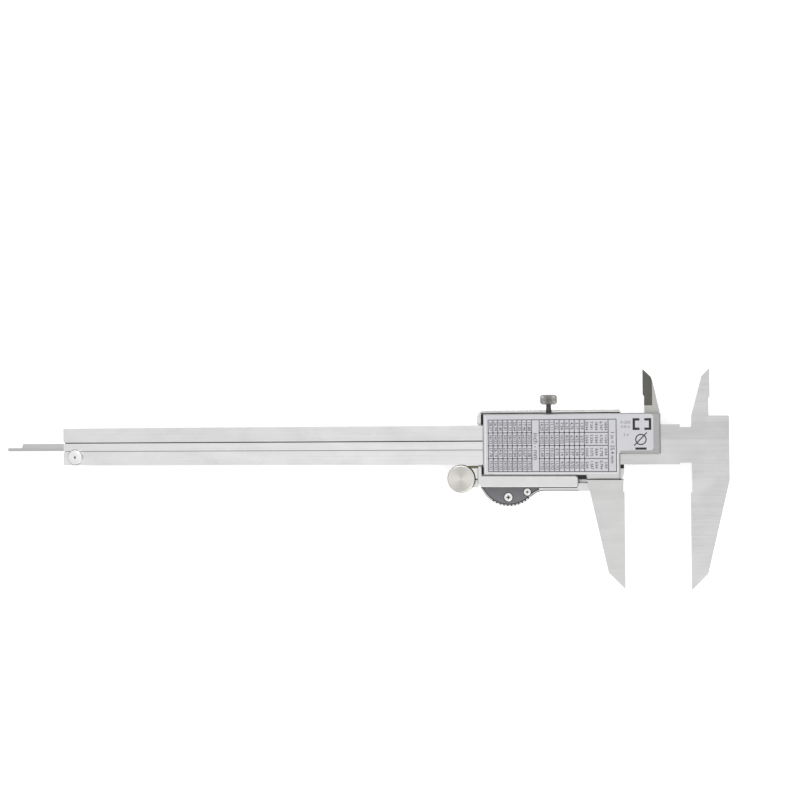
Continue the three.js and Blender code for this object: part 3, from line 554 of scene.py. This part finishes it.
# ---- CAD nodes that keep their shape, with the millimetres taken off their edges ----
KEPT = {
    "depth_rod": (rod_steel, 0.08),
    "battery_door": (door_metal, 0.08),
    "thumb_rest_back_plate": (rest_paint, 0.06),
    "roller_bracket": (bracket_metal, 0.08),
    "roller_bracket_screw": (dark_metal, 0.08),
    "roller_retaining_ring": (dark_metal, 0.04),
    "rear_conversion_label": (label_film, 0.03),
    "capacitive_scale_strip": (board_mask, 0.02),
    "scale_cover_film": (scale_film, 0.02),
    "gib_strip": (gib_bronze, 0.04),
    "gib_screw_rear_end": (dark_metal, 0.06),
    "gib_screw_jaw_end": (dark_metal, 0.06),
    "depth_rod_screw": (dark_metal, 0.04),
    "case_screw_roller_end_low": (dark_metal, 0.04),
    "case_screw_roller_end_high": (dark_metal, 0.04),
    "case_screw_jaw_end_low": (dark_metal, 0.04),
    "case_screw_jaw_end_high": (dark_metal, 0.04),
    "display_window": (window_plastic, 0.08),
    "lcd_panel": (lcd_glass, 0.05),
    "lcd_frame": (tray_plastic, 0.06),
    "contact_strip_upper": (pad_rubber, 0.05),
    "contact_strip_lower": (pad_rubber, 0.05),
    "circuit_board": (board_mask, 0.05),
    "measuring_chip": (chip_plastic, 0.08),
    "button_units": (button_plastic, 0.12),
    "button_zero": (button_plastic, 0.12),
    "button_power": (button_plastic, 0.12),
    "button_pad": (pad_rubber, 0.1),
    "coin_cell": (cell_metal, 0.12),
    "cell_tray": (tray_plastic, 0.08),
    "cell_contact_negative": (contact_brass, 0.04),
    "cell_contact_positive": (contact_brass, 0.04),
    "lock_shoe": (contact_brass, 0.06),
}
for node_name, (node_material, edge_mm) in KEPT.items():
    finish_cad(node_name, node_material, edge=edge_mm * MM)

# the big ground and cast pieces have flat broken edges, which show as thin dark outlines
for node_name, node_material in (
    ("beam_with_fixed_jaws", beam_steel),
    ("slider_body_with_jaws", slider_steel),
    ("front_case", rim_metal),
):
    finish_cad(node_name, node_material, edge=0.16 * MM, segments=1, clamp=False)


# ---- turned pieces ----
def thumb_roller():
    """The roller's disc: a knurled rim, a broad chamfer and a faintly dished turned face."""
    r = (ROLLER_HIGH.x - ROLLER_LOW.x) / 2
    centre = Vector(((ROLLER_LOW.x + ROLLER_HIGH.x) / 2, (ROLLER_LOW.y + ROLLER_HIGH.y) / 2, 0.0))
    top, bottom = ROLLER_HIGH.z, ROLLER_LOW.z
    web = top - 3.25 * MM  # the disc's front face
    shaft = 1.5 * MM
    face = turned_metal("turned_roller", (0.68, 0.66, 0.615), 0.26, centre, 0.16, contrast=0.16)
    profile = [
        (0, bottom, 0),
        (shaft - 0.2 * MM, bottom, 0),
        (shaft, bottom + 0.2 * MM, 0),
        (shaft, web, 0),
        (r - 0.45 * MM, web, 0),
        (r - 0.02 * MM, web + 0.4 * MM, 1),
        (r, web + 0.5 * MM, 1),
        (r, top - 0.6 * MM, 1),
        (r - 0.02 * MM, top - 0.5 * MM, 1),
        (r - 0.2 * MM, top - 0.2 * MM, 2),
        (r - 0.42 * MM, top - 0.06 * MM, 0),
        (r - 0.62 * MM, top - 0.02 * MM, 0),
        (r * 0.5, top - 0.06 * MM, 0),
        (r * 0.1, top - 0.1 * MM, 0),
        (0, top - 0.22 * MM, 0),
    ]
    # the knurled rim and its chamfer take the near-black second metal as painted shade
    piece = lathe("thumb_roller_disc", profile, centre, (0, 0, 1), (face, rim_shadow), 420, 70, 0.09 * MM)
    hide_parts("thumb_roller")
    dress(piece, "thumb_roller")


def lock_screw():
    """The lock screw: a straight-knurled knob with a driver slot, a relieved neck and a threaded shank."""
    r = (KNOB_HIGH.x - KNOB_LOW.x) / 2
    x, z = (KNOB_LOW.x + KNOB_HIGH.x) / 2, (KNOB_LOW.z + KNOB_HIGH.z) / 2
    length = KNOB_HIGH.y - KNOB_LOW.y
    knob = length - 4.0 * MM  # where the knob starts, from the shank's tip
    shank = 1.15 * MM
    root = shank - 0.12 * MM
    pitch = 0.45 * MM
    profile = [(0, 0, 2), (shank - 0.25 * MM, 0, 2), (root, 0.12 * MM, 2)]
    for i in range(int((knob - 2.4 * MM) / pitch)):
        start = 0.2 * MM + i * pitch
        profile += [(root, start, 2), (shank, start + 0.4 * pitch, 2)]
    profile += [
        (root, knob - 1.6 * MM, 2),
        (root, knob, 2),
        (r - 0.75 * MM, knob, 0),
        (r - 0.1 * MM, knob + 0.55 * MM, 1),
        (r, knob + 0.7 * MM, 1),
        (r, length - 0.75 * MM, 1),
        (r - 0.12 * MM, length - 0.6 * MM, 1),
        (r - 0.65 * MM, length - 0.05 * MM, 0),
        (r - 0.8 * MM, length, 0),
        (0, length, 0),
    ]
    metals = (knob_chrome_and_painted_shade, thread_and_recess_shade)
    piece = lathe("lock_screw_knob", profile, (x, KNOB_LOW.y, z), (0, 1, 0), metals, 360, 36, 0.26 * MM)
    for polygon in piece.data.polygons:
        if polygon.center.y > KNOB_LOW.y + knob:
            polygon.material_index = 0
    bm = bmesh.new()
    # the driver slot's walls take the black thread metal as painted shade
    slot_low = (x - r * 1.2, KNOB_HIGH.y - 0.9 * MM, z - 0.4 * MM)
    slot_high = (x + r * 1.2, KNOB_HIGH.y + MM, z + 0.4 * MM)
    add_block(bm, slot_low, slot_high)
    smooth(carve(piece, mesh_object("slot_cutter", bm, thread_and_recess_shade)))
    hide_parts("lock_screw")
    dress(piece, "lock_screw")


def cut_cross(piece, centre, width, length, depth):
    """Cuts a cross recess, with walls that draw in downwards and are darkened as painted shade, into a screw
    head that faces up.
    """
    for half_x, half_y in ((length / 2, width / 2), (width / 2, length / 2)):
        bm = bmesh.new()
        half = Vector((half_x, half_y, 0))
        low, high = centre - half - Vector((0, 0, depth)), centre + half + Vector((0, 0, MM))
        for v in add_block(bm, low, high):
            if v.co.z < centre.z:
                v.co.x = centre.x + (v.co.x - centre.x) * 0.7
                v.co.y = centre.y + (v.co.y - centre.y) * 0.7
        carve(piece, mesh_object("cross_cutter", bm, thread_and_recess_shade))
    smooth(piece)


def rest_screw(node, name, cross):
    """A pan-head screw in place of a CAD screw, with a cross recess and a dark edge, both darkened as
    painted shade.
    """
    low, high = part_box(node)
    r = (high.x - low.x) / 2
    x, y = (low.x + high.x) / 2, (low.y + high.y) / 2
    head = 0.8 * MM
    profile = [
        (0, low.z, 2),
        (0.8 * MM, low.z, 2),
        (0.8 * MM, high.z - head, 2),
        (r - 0.06 * MM, high.z - head, 2),
        (r, high.z - head + 0.06 * MM, 2),
        (r, high.z - 0.3 * head, 2),
        (r * 0.97, high.z - 0.12 * head, 0),
        (r * 0.92, high.z - 0.03 * head, 0),
        (r * 0.86, high.z, 0),
        (0, high.z, 0),
    ]
    piece = lathe(name, profile, (x, y, 0), (0, 0, 1), (screw_metal, rim_shadow), 96)
    cut_cross(piece, Vector((x, y, high.z)), cross * 0.34, cross, 0.5 * MM)
    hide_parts(node)
    dress(piece, "slider")


def stop_screw():
    """The flat stop screw at the beam's free end, with a small socket and a ring at its edge, both darkened
    as painted shade.
    """
    low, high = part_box("beam_stop_screw")
    r = (high.x - low.x) / 2
    x, y = (low.x + high.x) / 2, (low.y + high.y) / 2
    centre = Vector((x, y, 0))
    face = turned_metal("turned_stop_screw", (0.92, 0.92, 0.91), 0.3, centre, 0.2, contrast=0.04)
    under = high.z - 0.9 * MM
    profile = [
        (0, low.z, 0),
        (1.2 * MM, low.z, 0),
        (1.2 * MM, under, 0),
        (r - 0.1 * MM, under, 0),
        (r, under + 0.1 * MM, 0),
        (r, high.z - 0.25 * MM, 2),
        (r - 0.25 * MM, high.z - 0.02 * MM, 2),
        (r - 0.3 * MM, high.z, 0),
        (0.62 * MM, high.z, 0),
        (0.55 * MM, high.z - 0.05 * MM, 2),
        (0.4 * MM, high.z - 0.6 * MM, 2),
        (0, high.z - 0.7 * MM, 2),
    ]
    # the socket and the edge ring take the knob's dark metal as painted shade
    piece = lathe("stop_screw_disc", profile, centre, (0, 0, 1), (face, knob_chrome_and_painted_shade), 128)
    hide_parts("beam_stop_screw")
    dress(piece, "beam")


# ---- painted shade in the joints between the slider, its case and the thumb rest's plate ----
def rim_seal():
    """A black strip of painted shade in the gap between the case's rim and the slider's wall, a little below
    the rim.
    """
    bm = bmesh.new()
    z1 = REAR_Z + 0.25 * MM
    z0 = z1 - 1.6 * MM
    gap = 0.02
    top, bottom = WALL["top"], WALL["bottom"]
    for y0, y1 in ((top + gap, top + RIM_GAP - gap), (bottom - RIM_GAP + gap, bottom - gap)):
        end = RIM_BAR_RIGHT - 0.1 if y0 < 0 else WALL["right"]
        add_bar(bm, RIM_INNER + gap, end, y0, y1, z0, z1)
    for y0, y1 in ((8.6, top + gap), (bottom - gap, -8.6)):
        add_bar(bm, RIM_INNER + gap, WALL["left"] - gap, y0, y1, z0, z1)
    dress(mesh_object("rim_seal", bm, gap_shade_black), "slider")


def fillet_angle():
    """The angle in degrees, about the middle of the bump, at which it runs into its fillet."""
    return math.degrees(math.atan2(BUMP["fillet_y"] - BUMP["y"], BUMP["fillet_x"] - BUMP["x"]))


def rest_plate_seal():
    """A dark line of painted shade round the thumb rest's grey plate."""
    edge = 0.72  # from the thumb rest's edge to the line of painted shade
    top, right = RIM_BAR_BOTTOM - 0.3, REST_PLATE_RIGHT
    r = BUMP["r"] - edge
    fillet_r = BUMP["fillet"] + edge
    meet = fillet_angle()
    start = -180 + math.degrees(math.asin((BUMP["y"] - top) / r))
    end = math.degrees(math.acos((right - BUMP["fillet_x"]) / fillet_r))
    points = arc_points(BUMP["x"], BUMP["y"], r, start, meet, 40)
    points += arc_points(BUMP["fillet_x"], BUMP["fillet_y"], fillet_r, meet + 180, end, 8)[1:]
    z = PLATE_HIGH.z
    bm = bmesh.new()
    add_ribbon(bm, points, 0.38, z - 0.4 * MM, z + 0.02 * MM)
    add_bar(bm, right - 0.35, right + 0.05, points[-1][1], top, z - 0.4 * MM, z + 0.02 * MM)
    dress(mesh_object("rest_plate_seal", bm, gap_shade_black), "slider")


def rest_outline():
    """Dark strips of painted shade round the thumb rest's ledge, under the rim's bar and at the foot of the
    grip's teeth.
    """
    z1 = REST_LEDGE
    bm = bmesh.new()
    points = arc_points(BUMP["x"], BUMP["y"], BUMP["r"] - 0.02, -160, GRIP_ANGLES[0], 20)
    add_ribbon(bm, points, 0.2, z1 - 0.3 * MM, z1 + 0.02 * MM)
    start = fillet_angle() + 180
    points = arc_points(BUMP["fillet_x"], BUMP["fillet_y"], BUMP["fillet"] + 0.02, start, 90, 16)
    points.append((RIM_BAR_RIGHT, points[-1][1]))
    add_ribbon(bm, points, 0.3, z1 - 0.3 * MM, z1 + 0.02 * MM)
    first, last = GRIP_ANGLES
    pitch = (last - first) / TEETH
    for i in range(TEETH):
        root = first + i * pitch
        start, end = root + 0.08 * pitch, root + 0.44 * pitch
        points = arc_points(BUMP["x"], BUMP["y"], BUMP["r"] - 0.03, start, end, 2)
        add_ribbon(bm, points, 0.6, z1 - 0.5 * MM, z1 + 0.03 * MM)
    bar_end = RIM_BAR_RIGHT - 0.6
    bar_y = RIM_BAR_BOTTOM
    add_bar(bm, REST_PLATE_RIGHT, bar_end, bar_y - 0.35, bar_y + 0.02, z1, REAR_Z + 0.2 * MM)
    dress(mesh_object("thumb_rest_shade_lines", bm, rim_shadow), "slider")


def bracket_lip():
    """A dark olive strip along the roller bracket's upper edge."""
    bm = bmesh.new()
    add_bar(bm, -89.2, RIM_INNER - 0.1, -9.25, -8.6, REAR_Z - 3.6 * MM, REAR_Z - 1.3 * MM)
    dress(mesh_object("bracket_lip", bm, olive_metal), "slider")


# ---- the printed label ----
TABLE = {"left": -80.45, "right": -29.1, "bottom": -10.7, "top": 10.3}
ROWS = 4
NARROW = 9  # narrow columns on each side of the first heading
HEAD_1 = (-62.85, -59.75)
HEAD_2 = (-41.7, -32.25)
PRINT_THICK = 0.012 * MM
OVERPRINT = 0.004 * MM  # how much higher a printed line lies on one that it crosses


def columns():
    """The left edges of the narrow columns on each side of the first heading, in millimetres."""
    starts = ((TABLE["left"], HEAD_1[0]), (HEAD_1[1], HEAD_2[0]))
    return [[left + (right - left) * i / NARROW for i in range(NARROW)] for left, right in starts]


def row_edges():
    height = (TABLE["top"] - TABLE["bottom"]) / ROWS
    return [TABLE["bottom"] + height * i for i in range(ROWS + 1)]


def label_lines():
    """The table's ruled lines, darker where they cross, and a thin white line along three sides."""
    half = 0.17
    cross = 0.24  # half of the dark square where two lines cross
    thin = 0.12  # half of the white line
    z0, z1 = LABEL_HIGH.z, LABEL_HIGH.z + PRINT_THICK
    first, second = columns()
    edges = [*first, *HEAD_1, *second[1:], *HEAD_2, TABLE["right"]]
    rows = row_edges()
    bm = bmesh.new()
    for x in edges:
        add_bar(bm, x - half, x + half, TABLE["bottom"] - half, TABLE["top"] + half, z0, z1)
    for y in (rows[0], rows[-1]):
        add_bar(bm, TABLE["left"], TABLE["right"], y - half, y + half, z0, z1 + OVERPRINT)
    for y in rows[1:-1]:
        add_bar(bm, TABLE["left"], HEAD_1[0], y - half, y + half, z0, z1 + OVERPRINT)
        add_bar(bm, HEAD_1[1], HEAD_2[1], y - half, y + half, z0, z1 + OVERPRINT)
    dress(mesh_object("label_table_lines", bm, label_ink), "slider")

    bm = bmesh.new()
    for x in (*first, HEAD_1[0], *second, HEAD_2[0]):
        for y in rows[1:-1]:
            add_bar(bm, x - cross, x + cross, y - cross, y + cross, z0, z1 + 2 * OVERPRINT)
    dress(mesh_object("label_line_crossings", bm, black_ink), "slider")

    bm = bmesh.new()
    left, right = WALL["left"] + 1.15, WALL["right"] - 0.95
    bottom, top = WALL["bottom"] + 0.75, WALL["top"] - 0.75
    for x in (left, right):
        end = top if x == left else WALL["tongue_bottom"]
        add_bar(bm, x - thin, x + thin, bottom, end, z0, z1)
    add_bar(bm, left, right, bottom - thin, bottom + thin, z0, z1)
    dress(mesh_object("label_white_line", bm, white_ink), "slider")


def label_numbers():
    """Inch fractions and millimetres in the table, and its two headings, read with the beam upright."""
    rows = row_edges()
    first, second = columns()
    pitch = first[1] - first[0]
    z = LABEL_HIGH.z + PRINT_THICK / 2
    bm = bmesh.new()

    def write(words, x, y, size, bold=0.03 * MM):
        middle = at(x, y)
        middle.z = z
        add_text(bm, words, size * MM, middle, PRINT_THICK, turn=-90, bold=bold)

    for i, x in enumerate(reversed([*first, *second])):
        for j in range(ROWS // 2):
            n = i * 2 + j + 1
            for k, words in enumerate((f"{n}/32", f"{INCH * n / 32:.2f}")):
                row = 2 * j + k
                write(words, x + pitch / 2, (rows[row] + rows[row + 1]) / 2, 1.75)
    lines = 5
    for row in range(ROWS):
        for i in range(lines):
            x = HEAD_2[1] - (i + 0.5) * (HEAD_2[1] - HEAD_2[0]) / lines
            n = row * lines + i + 1
            words = f"{n}/64" if i % 2 == 0 else f"{INCH * n / 64:.3f}"
            write(words, x, (rows[row] + rows[row + 1]) / 2, 1.6)
    middle_y = (TABLE["top"] + TABLE["bottom"]) / 2
    write("inch - mm", (HEAD_1[0] + HEAD_1[1]) / 2, middle_y - 0.3, 2.7, 0.02 * MM)
    write("1 in = 25.4 mm", (HEAD_2[1] + TABLE["right"]) / 2, middle_y - 0.8, 2.1, 0.02 * MM)
    dress(mesh_object("label_table_numbers", bm, label_ink), "slider")


def tongue_print():
    """The label's tongue: small grey figures, and two measuring pictograms over a bar."""
    z0, z1 = LABEL_HIGH.z, LABEL_HIGH.z + PRINT_THICK
    bm = bmesh.new()
    prints = (("0-200", -25.4, 9.0, 1.7), ("0-8 in", -25.4, 7.2, 1.5), ("3 V", -25.2, 3.9, 1.6))
    for words, x, y, size in prints:
        middle = at(x, y)
        middle.z = (z0 + z1) / 2
        add_text(bm, words, size * MM, middle, PRINT_THICK)
    dress(mesh_object("tongue_small_print", bm, pale_ink), "slider")

    bm = bmesh.new()
    # outside measuring: two brackets that face each other
    stroke = 0.95
    for left, right, back in ((-22.6, -19.9, -22.6), (-18.0, -15.3, -15.3 - stroke)):
        add_bar(bm, back, back + stroke, 5.9, 10.6, z0, z1)
        for y in (5.9, 10.6 - stroke):
            add_bar(bm, left, right, y, y + stroke, z0, z1 + OVERPRINT)
    # a bore: a ring with a slanted line
    ring = arc_points(-19.4, 2.1, 2.25, 0, 360, 40)
    add_ribbon(bm, ring, 0.45, z0, z1)
    add_ribbon(bm, [(-21.9, -0.5), (-16.9, 4.7)], 0.45, z0, z1 + OVERPRINT)
    add_bar(bm, -21.6, -17.2, -2.0, -1.1, z0, z1)
    dress(mesh_object("tongue_symbols", bm, black_ink), "slider")


# ---- the display side ----
ZERO_MARK = -59.2  # the scale's zero: the case's edge stands at it when the jaws are closed
SEGMENTS = {"0": "abcdef", "2": "abged", "6": "acdefg"}


def scale_marks():
    """Millimetre marks along one edge of the scale film and inch marks along the other, with numbers."""
    z0, z1 = FILM_LOW.z - 0.01 * MM, FILM_LOW.z
    bm = bmesh.new()
    for i in range(201):
        x = ZERO_MARK - i
        length = 3.0 if i % 10 == 0 else 2.3 if i % 5 == 0 else 1.6
        add_bar(bm, x - 0.08, x + 0.08, -5.9, -5.9 + length, z0, z1)
        if i % 10 == 0:
            middle = at(x, -1.4)
            middle.z = (z0 + z1) / 2
            add_text(bm, str(i), 2.2 * MM, middle, z1 - z0, front=True)
    for i in range(8 * 16 + 1):
        x = ZERO_MARK - i * INCH / 16
        length = 2.6 if i % 16 == 0 else 1.9 if i % 8 == 0 else 1.2
        add_bar(bm, x - 0.07, x + 0.07, 5.9 - length, 5.9, z0, z1)
        if i % 16 == 0 and i:
            middle = at(x + 1.4, 3.6)
            middle.z = (z0 + z1) / 2
            add_text(bm, str(i // 16), 2.4 * MM, middle, z1 - z0, front=True)
    dress(mesh_object("scale_marks", bm, scale_ink), "beam")


def add_digit(bm, digit, x, y, width, height, stroke, z0, z1):
    """One seven-segment figure. x is its left edge as read from the display side, where x runs backwards."""
    half = height / 2
    bars = {
        "a": (0, width, height - stroke, height),
        "b": (width - stroke, width, half, height),
        "c": (width - stroke, width, 0, half),
        "d": (0, width, 0, stroke),
        "e": (0, stroke, 0, half),
        "f": (0, stroke, half, height),
        "g": (0, width, half - stroke / 2, half + stroke / 2),
    }
    gap = 0.07
    for name in SEGMENTS[digit]:
        u0, u1, v0, v1 = bars[name]
        add_bar(bm, x - u1 + gap, x - u0 - gap, y + v0 + gap, y + v1 - gap, z0, z1)


def display_reading():
    """The reading at the modelled opening, 26.00 mm, on the display's glass."""
    z0, z1 = LCD_LOW.z - 0.02 * MM, LCD_LOW.z
    width, height, stroke, pitch = 3.4, 6.6, 0.95, 4.6
    x, y = -38.6, -0.8
    bm = bmesh.new()
    for words in "26.00":
        if words == ".":
            add_bar(bm, x + 0.15, x + 0.85, y, y + 0.8, z0, z1)
            x -= 0.4
        else:
            add_digit(bm, words, x, y, width, height, stroke, z0, z1)
            x -= pitch
    middle = at(x - 0.6, y + 1.0)
    middle.z = (z0 + z1) / 2
    add_text(bm, "mm", 2.0 * MM, middle, z1 - z0, front=True)
    dress(mesh_object("display_reading", bm, segment_ink), "slider")


def button_marks():
    """A generic mark on each button: units, zero and on or off."""
    words = {"button_units": "mm/in", "button_zero": "0", "button_power": "I/O"}
    for name, mark in words.items():
        low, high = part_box(name)
        middle = Vector(((low.x + high.x) / 2, (low.y + high.y) / 2, low.z - 0.005 * MM))
        bm = bmesh.new()
        add_text(bm, mark, 1.7 * MM, middle, 0.01 * MM, front=True)
        dress(mesh_object(name + "_mark", bm, scale_ink), name)


def door_grip():
    """Raised grip ribs on the battery door, and an arrow for the way it slides."""
    bm = bmesh.new()
    z0, z1 = DOOR_LOW.z - 0.1 * MM, DOOR_LOW.z + 0.05 * MM
    for i in range(5):
        x = -80.5 + i * 1.5
        add_bar(bm, x - 0.3, x + 0.3, -5.0, 5.0, z0, z1)
    arrow = [at(-70.5, 0), at(-67.0, 2.2), at(-67.0, -2.2)]
    low = [bm.verts.new((p.x, p.y, z0)) for p in arrow]
    high = [bm.verts.new((p.x, p.y, z1)) for p in arrow]
    bm.faces.new(low)
    bm.faces.new(high)
    for i in range(3):
        j = (i + 1) % 3
        bm.faces.new((low[i], low[j], high[j], high[i]))
    dress(mesh_object("door_grip_ribs", bm, door_metal), "battery_door")


thumb_roller()
lock_screw()
rest_screw("thumb_rest_screw_large", "thumb_rest_pan_screw", 2.0 * MM)
rest_screw("thumb_rest_screw_small", "thumb_rest_sunk_screw", 1.5 * MM)
stop_screw()
rim_seal()
rest_plate_seal()
rest_outline()
bracket_lip()
label_lines()
label_numbers()
tongue_print()
scale_marks()
display_reading()
button_marks()
door_grip()

# ---- floor, light and camera ----
SKY = ((0.0, 0.05), (0.2, 0.3), (0.5, 0.74), (0.85, 0.88))  # height from the horizon and brightness
SKY_STRENGTH = 1.0
BACKDROP = (0.88, 0.88, 0.89, 1.0)  # what the camera sees past the floor
LIGHTS = (
    ("key", (-0.15, 0.8, 1.0), 0.9, 4.0),
    ("fill", (0.35, -0.8, 0.95), 0.9, 3.0),
)


def studio():
    """A pale floor that is clear from below, a soft sky above and below, and two side lights."""
    bm = bmesh.new()
    bmesh.ops.create_grid(bm, x_segments=1, y_segments=1, size=4.0)
    floor = mesh_object("floor", bm)
    floor.location.z = -0.2 * MM
    n = Nodes("pale_floor")
    n.set(Base_Color=(0.92, 0.92, 0.92, 1.0), Roughness=0.9, Emission_Color=(1.0, 1.0, 1.0, 1.0))
    n.set(Emission_Strength=0.45)
    clear = n.node("BsdfTransparent").outputs[0]
    facing = n.node("NewGeometry").outputs["Backfacing"]
    mixed = n.node("MixShader", {0: facing, 1: n.shader.outputs[0], 2: clear}).outputs[0]
    n.link(mixed, n.tree.nodes["Material Output"].inputs["Surface"])
    floor.data.materials.append(n.material)

    world = bpy.data.worlds.new("studio")
    bpy.context.scene.world = world
    world.use_nodes = True
    tree = world.node_tree
    direction = tree.nodes.new("ShaderNodeTexCoord").outputs["Generated"]
    parts = tree.nodes.new("ShaderNodeSeparateXYZ")
    tree.links.new(direction, parts.inputs[0])
    height = tree.nodes.new("ShaderNodeMath")
    height.operation = "ABSOLUTE"
    tree.links.new(parts.outputs["Z"], height.inputs[0])
    sky = tree.nodes.new("ShaderNodeValToRGB")
    tree.links.new(height.outputs[0], sky.inputs["Fac"])
    elements = sky.color_ramp.elements
    while len(elements) < len(SKY):
        elements.new(0.5)
    for element, (place, level) in zip(elements, SKY):
        element.position = place
        element.color = (level, level, level * 1.01, 1.0)
    mixed = tree.nodes.new("ShaderNodeMix")
    mixed.data_type = "RGBA"
    tree.links.new(tree.nodes.new("ShaderNodeLightPath").outputs["Is Camera Ray"], mixed.inputs[0])
    tree.links.new(sky.outputs["Color"], mixed.inputs[6])
    mixed.inputs[7].default_value = BACKDROP
    background = tree.nodes["Background"]
    tree.links.new(mixed.outputs[2], background.inputs["Color"])
    background.inputs["Strength"].default_value = SKY_STRENGTH

    for name, place, size, power in LIGHTS:
        light = bpy.data.lights.new(name, "AREA")
        light.size = size
        light.energy = power
        lamp = bpy.data.objects.new(name, light)
        bpy.context.scene.collection.objects.link(lamp)
        lamp.location = place
        lamp.rotation_mode = "QUATERNION"
        lamp.rotation_quaternion = Vector(place).to_track_quat("Z", "Y")


def camera():
    """A camera nearly overhead, turned a little to the fixed jaw's side."""
    yaw, pitch, roll = 9.68, -0.46, -0.71
    aim = at(-117.1, 18.9)
    distance = 0.4973
    turn = (
        Matrix.Rotation(math.radians(yaw), 3, "Y")
        @ Matrix.Rotation(math.radians(pitch), 3, "X")
        @ Matrix.Rotation(math.radians(roll), 3, "Z")
    )
    data = bpy.data.cameras.new("camera")
    data.lens = 54.0
    data.clip_start, data.clip_end = 0.01, 20.0
    made = bpy.data.objects.new("camera", data)
    bpy.context.scene.collection.objects.link(made)
    made.matrix_world = Matrix.Translation(aim + turn.col[2] * distance) @ turn.to_4x4()
    bpy.context.scene.camera = made


studio()
camera()
bpy.context.scene.view_settings.view_transform = "Standard"
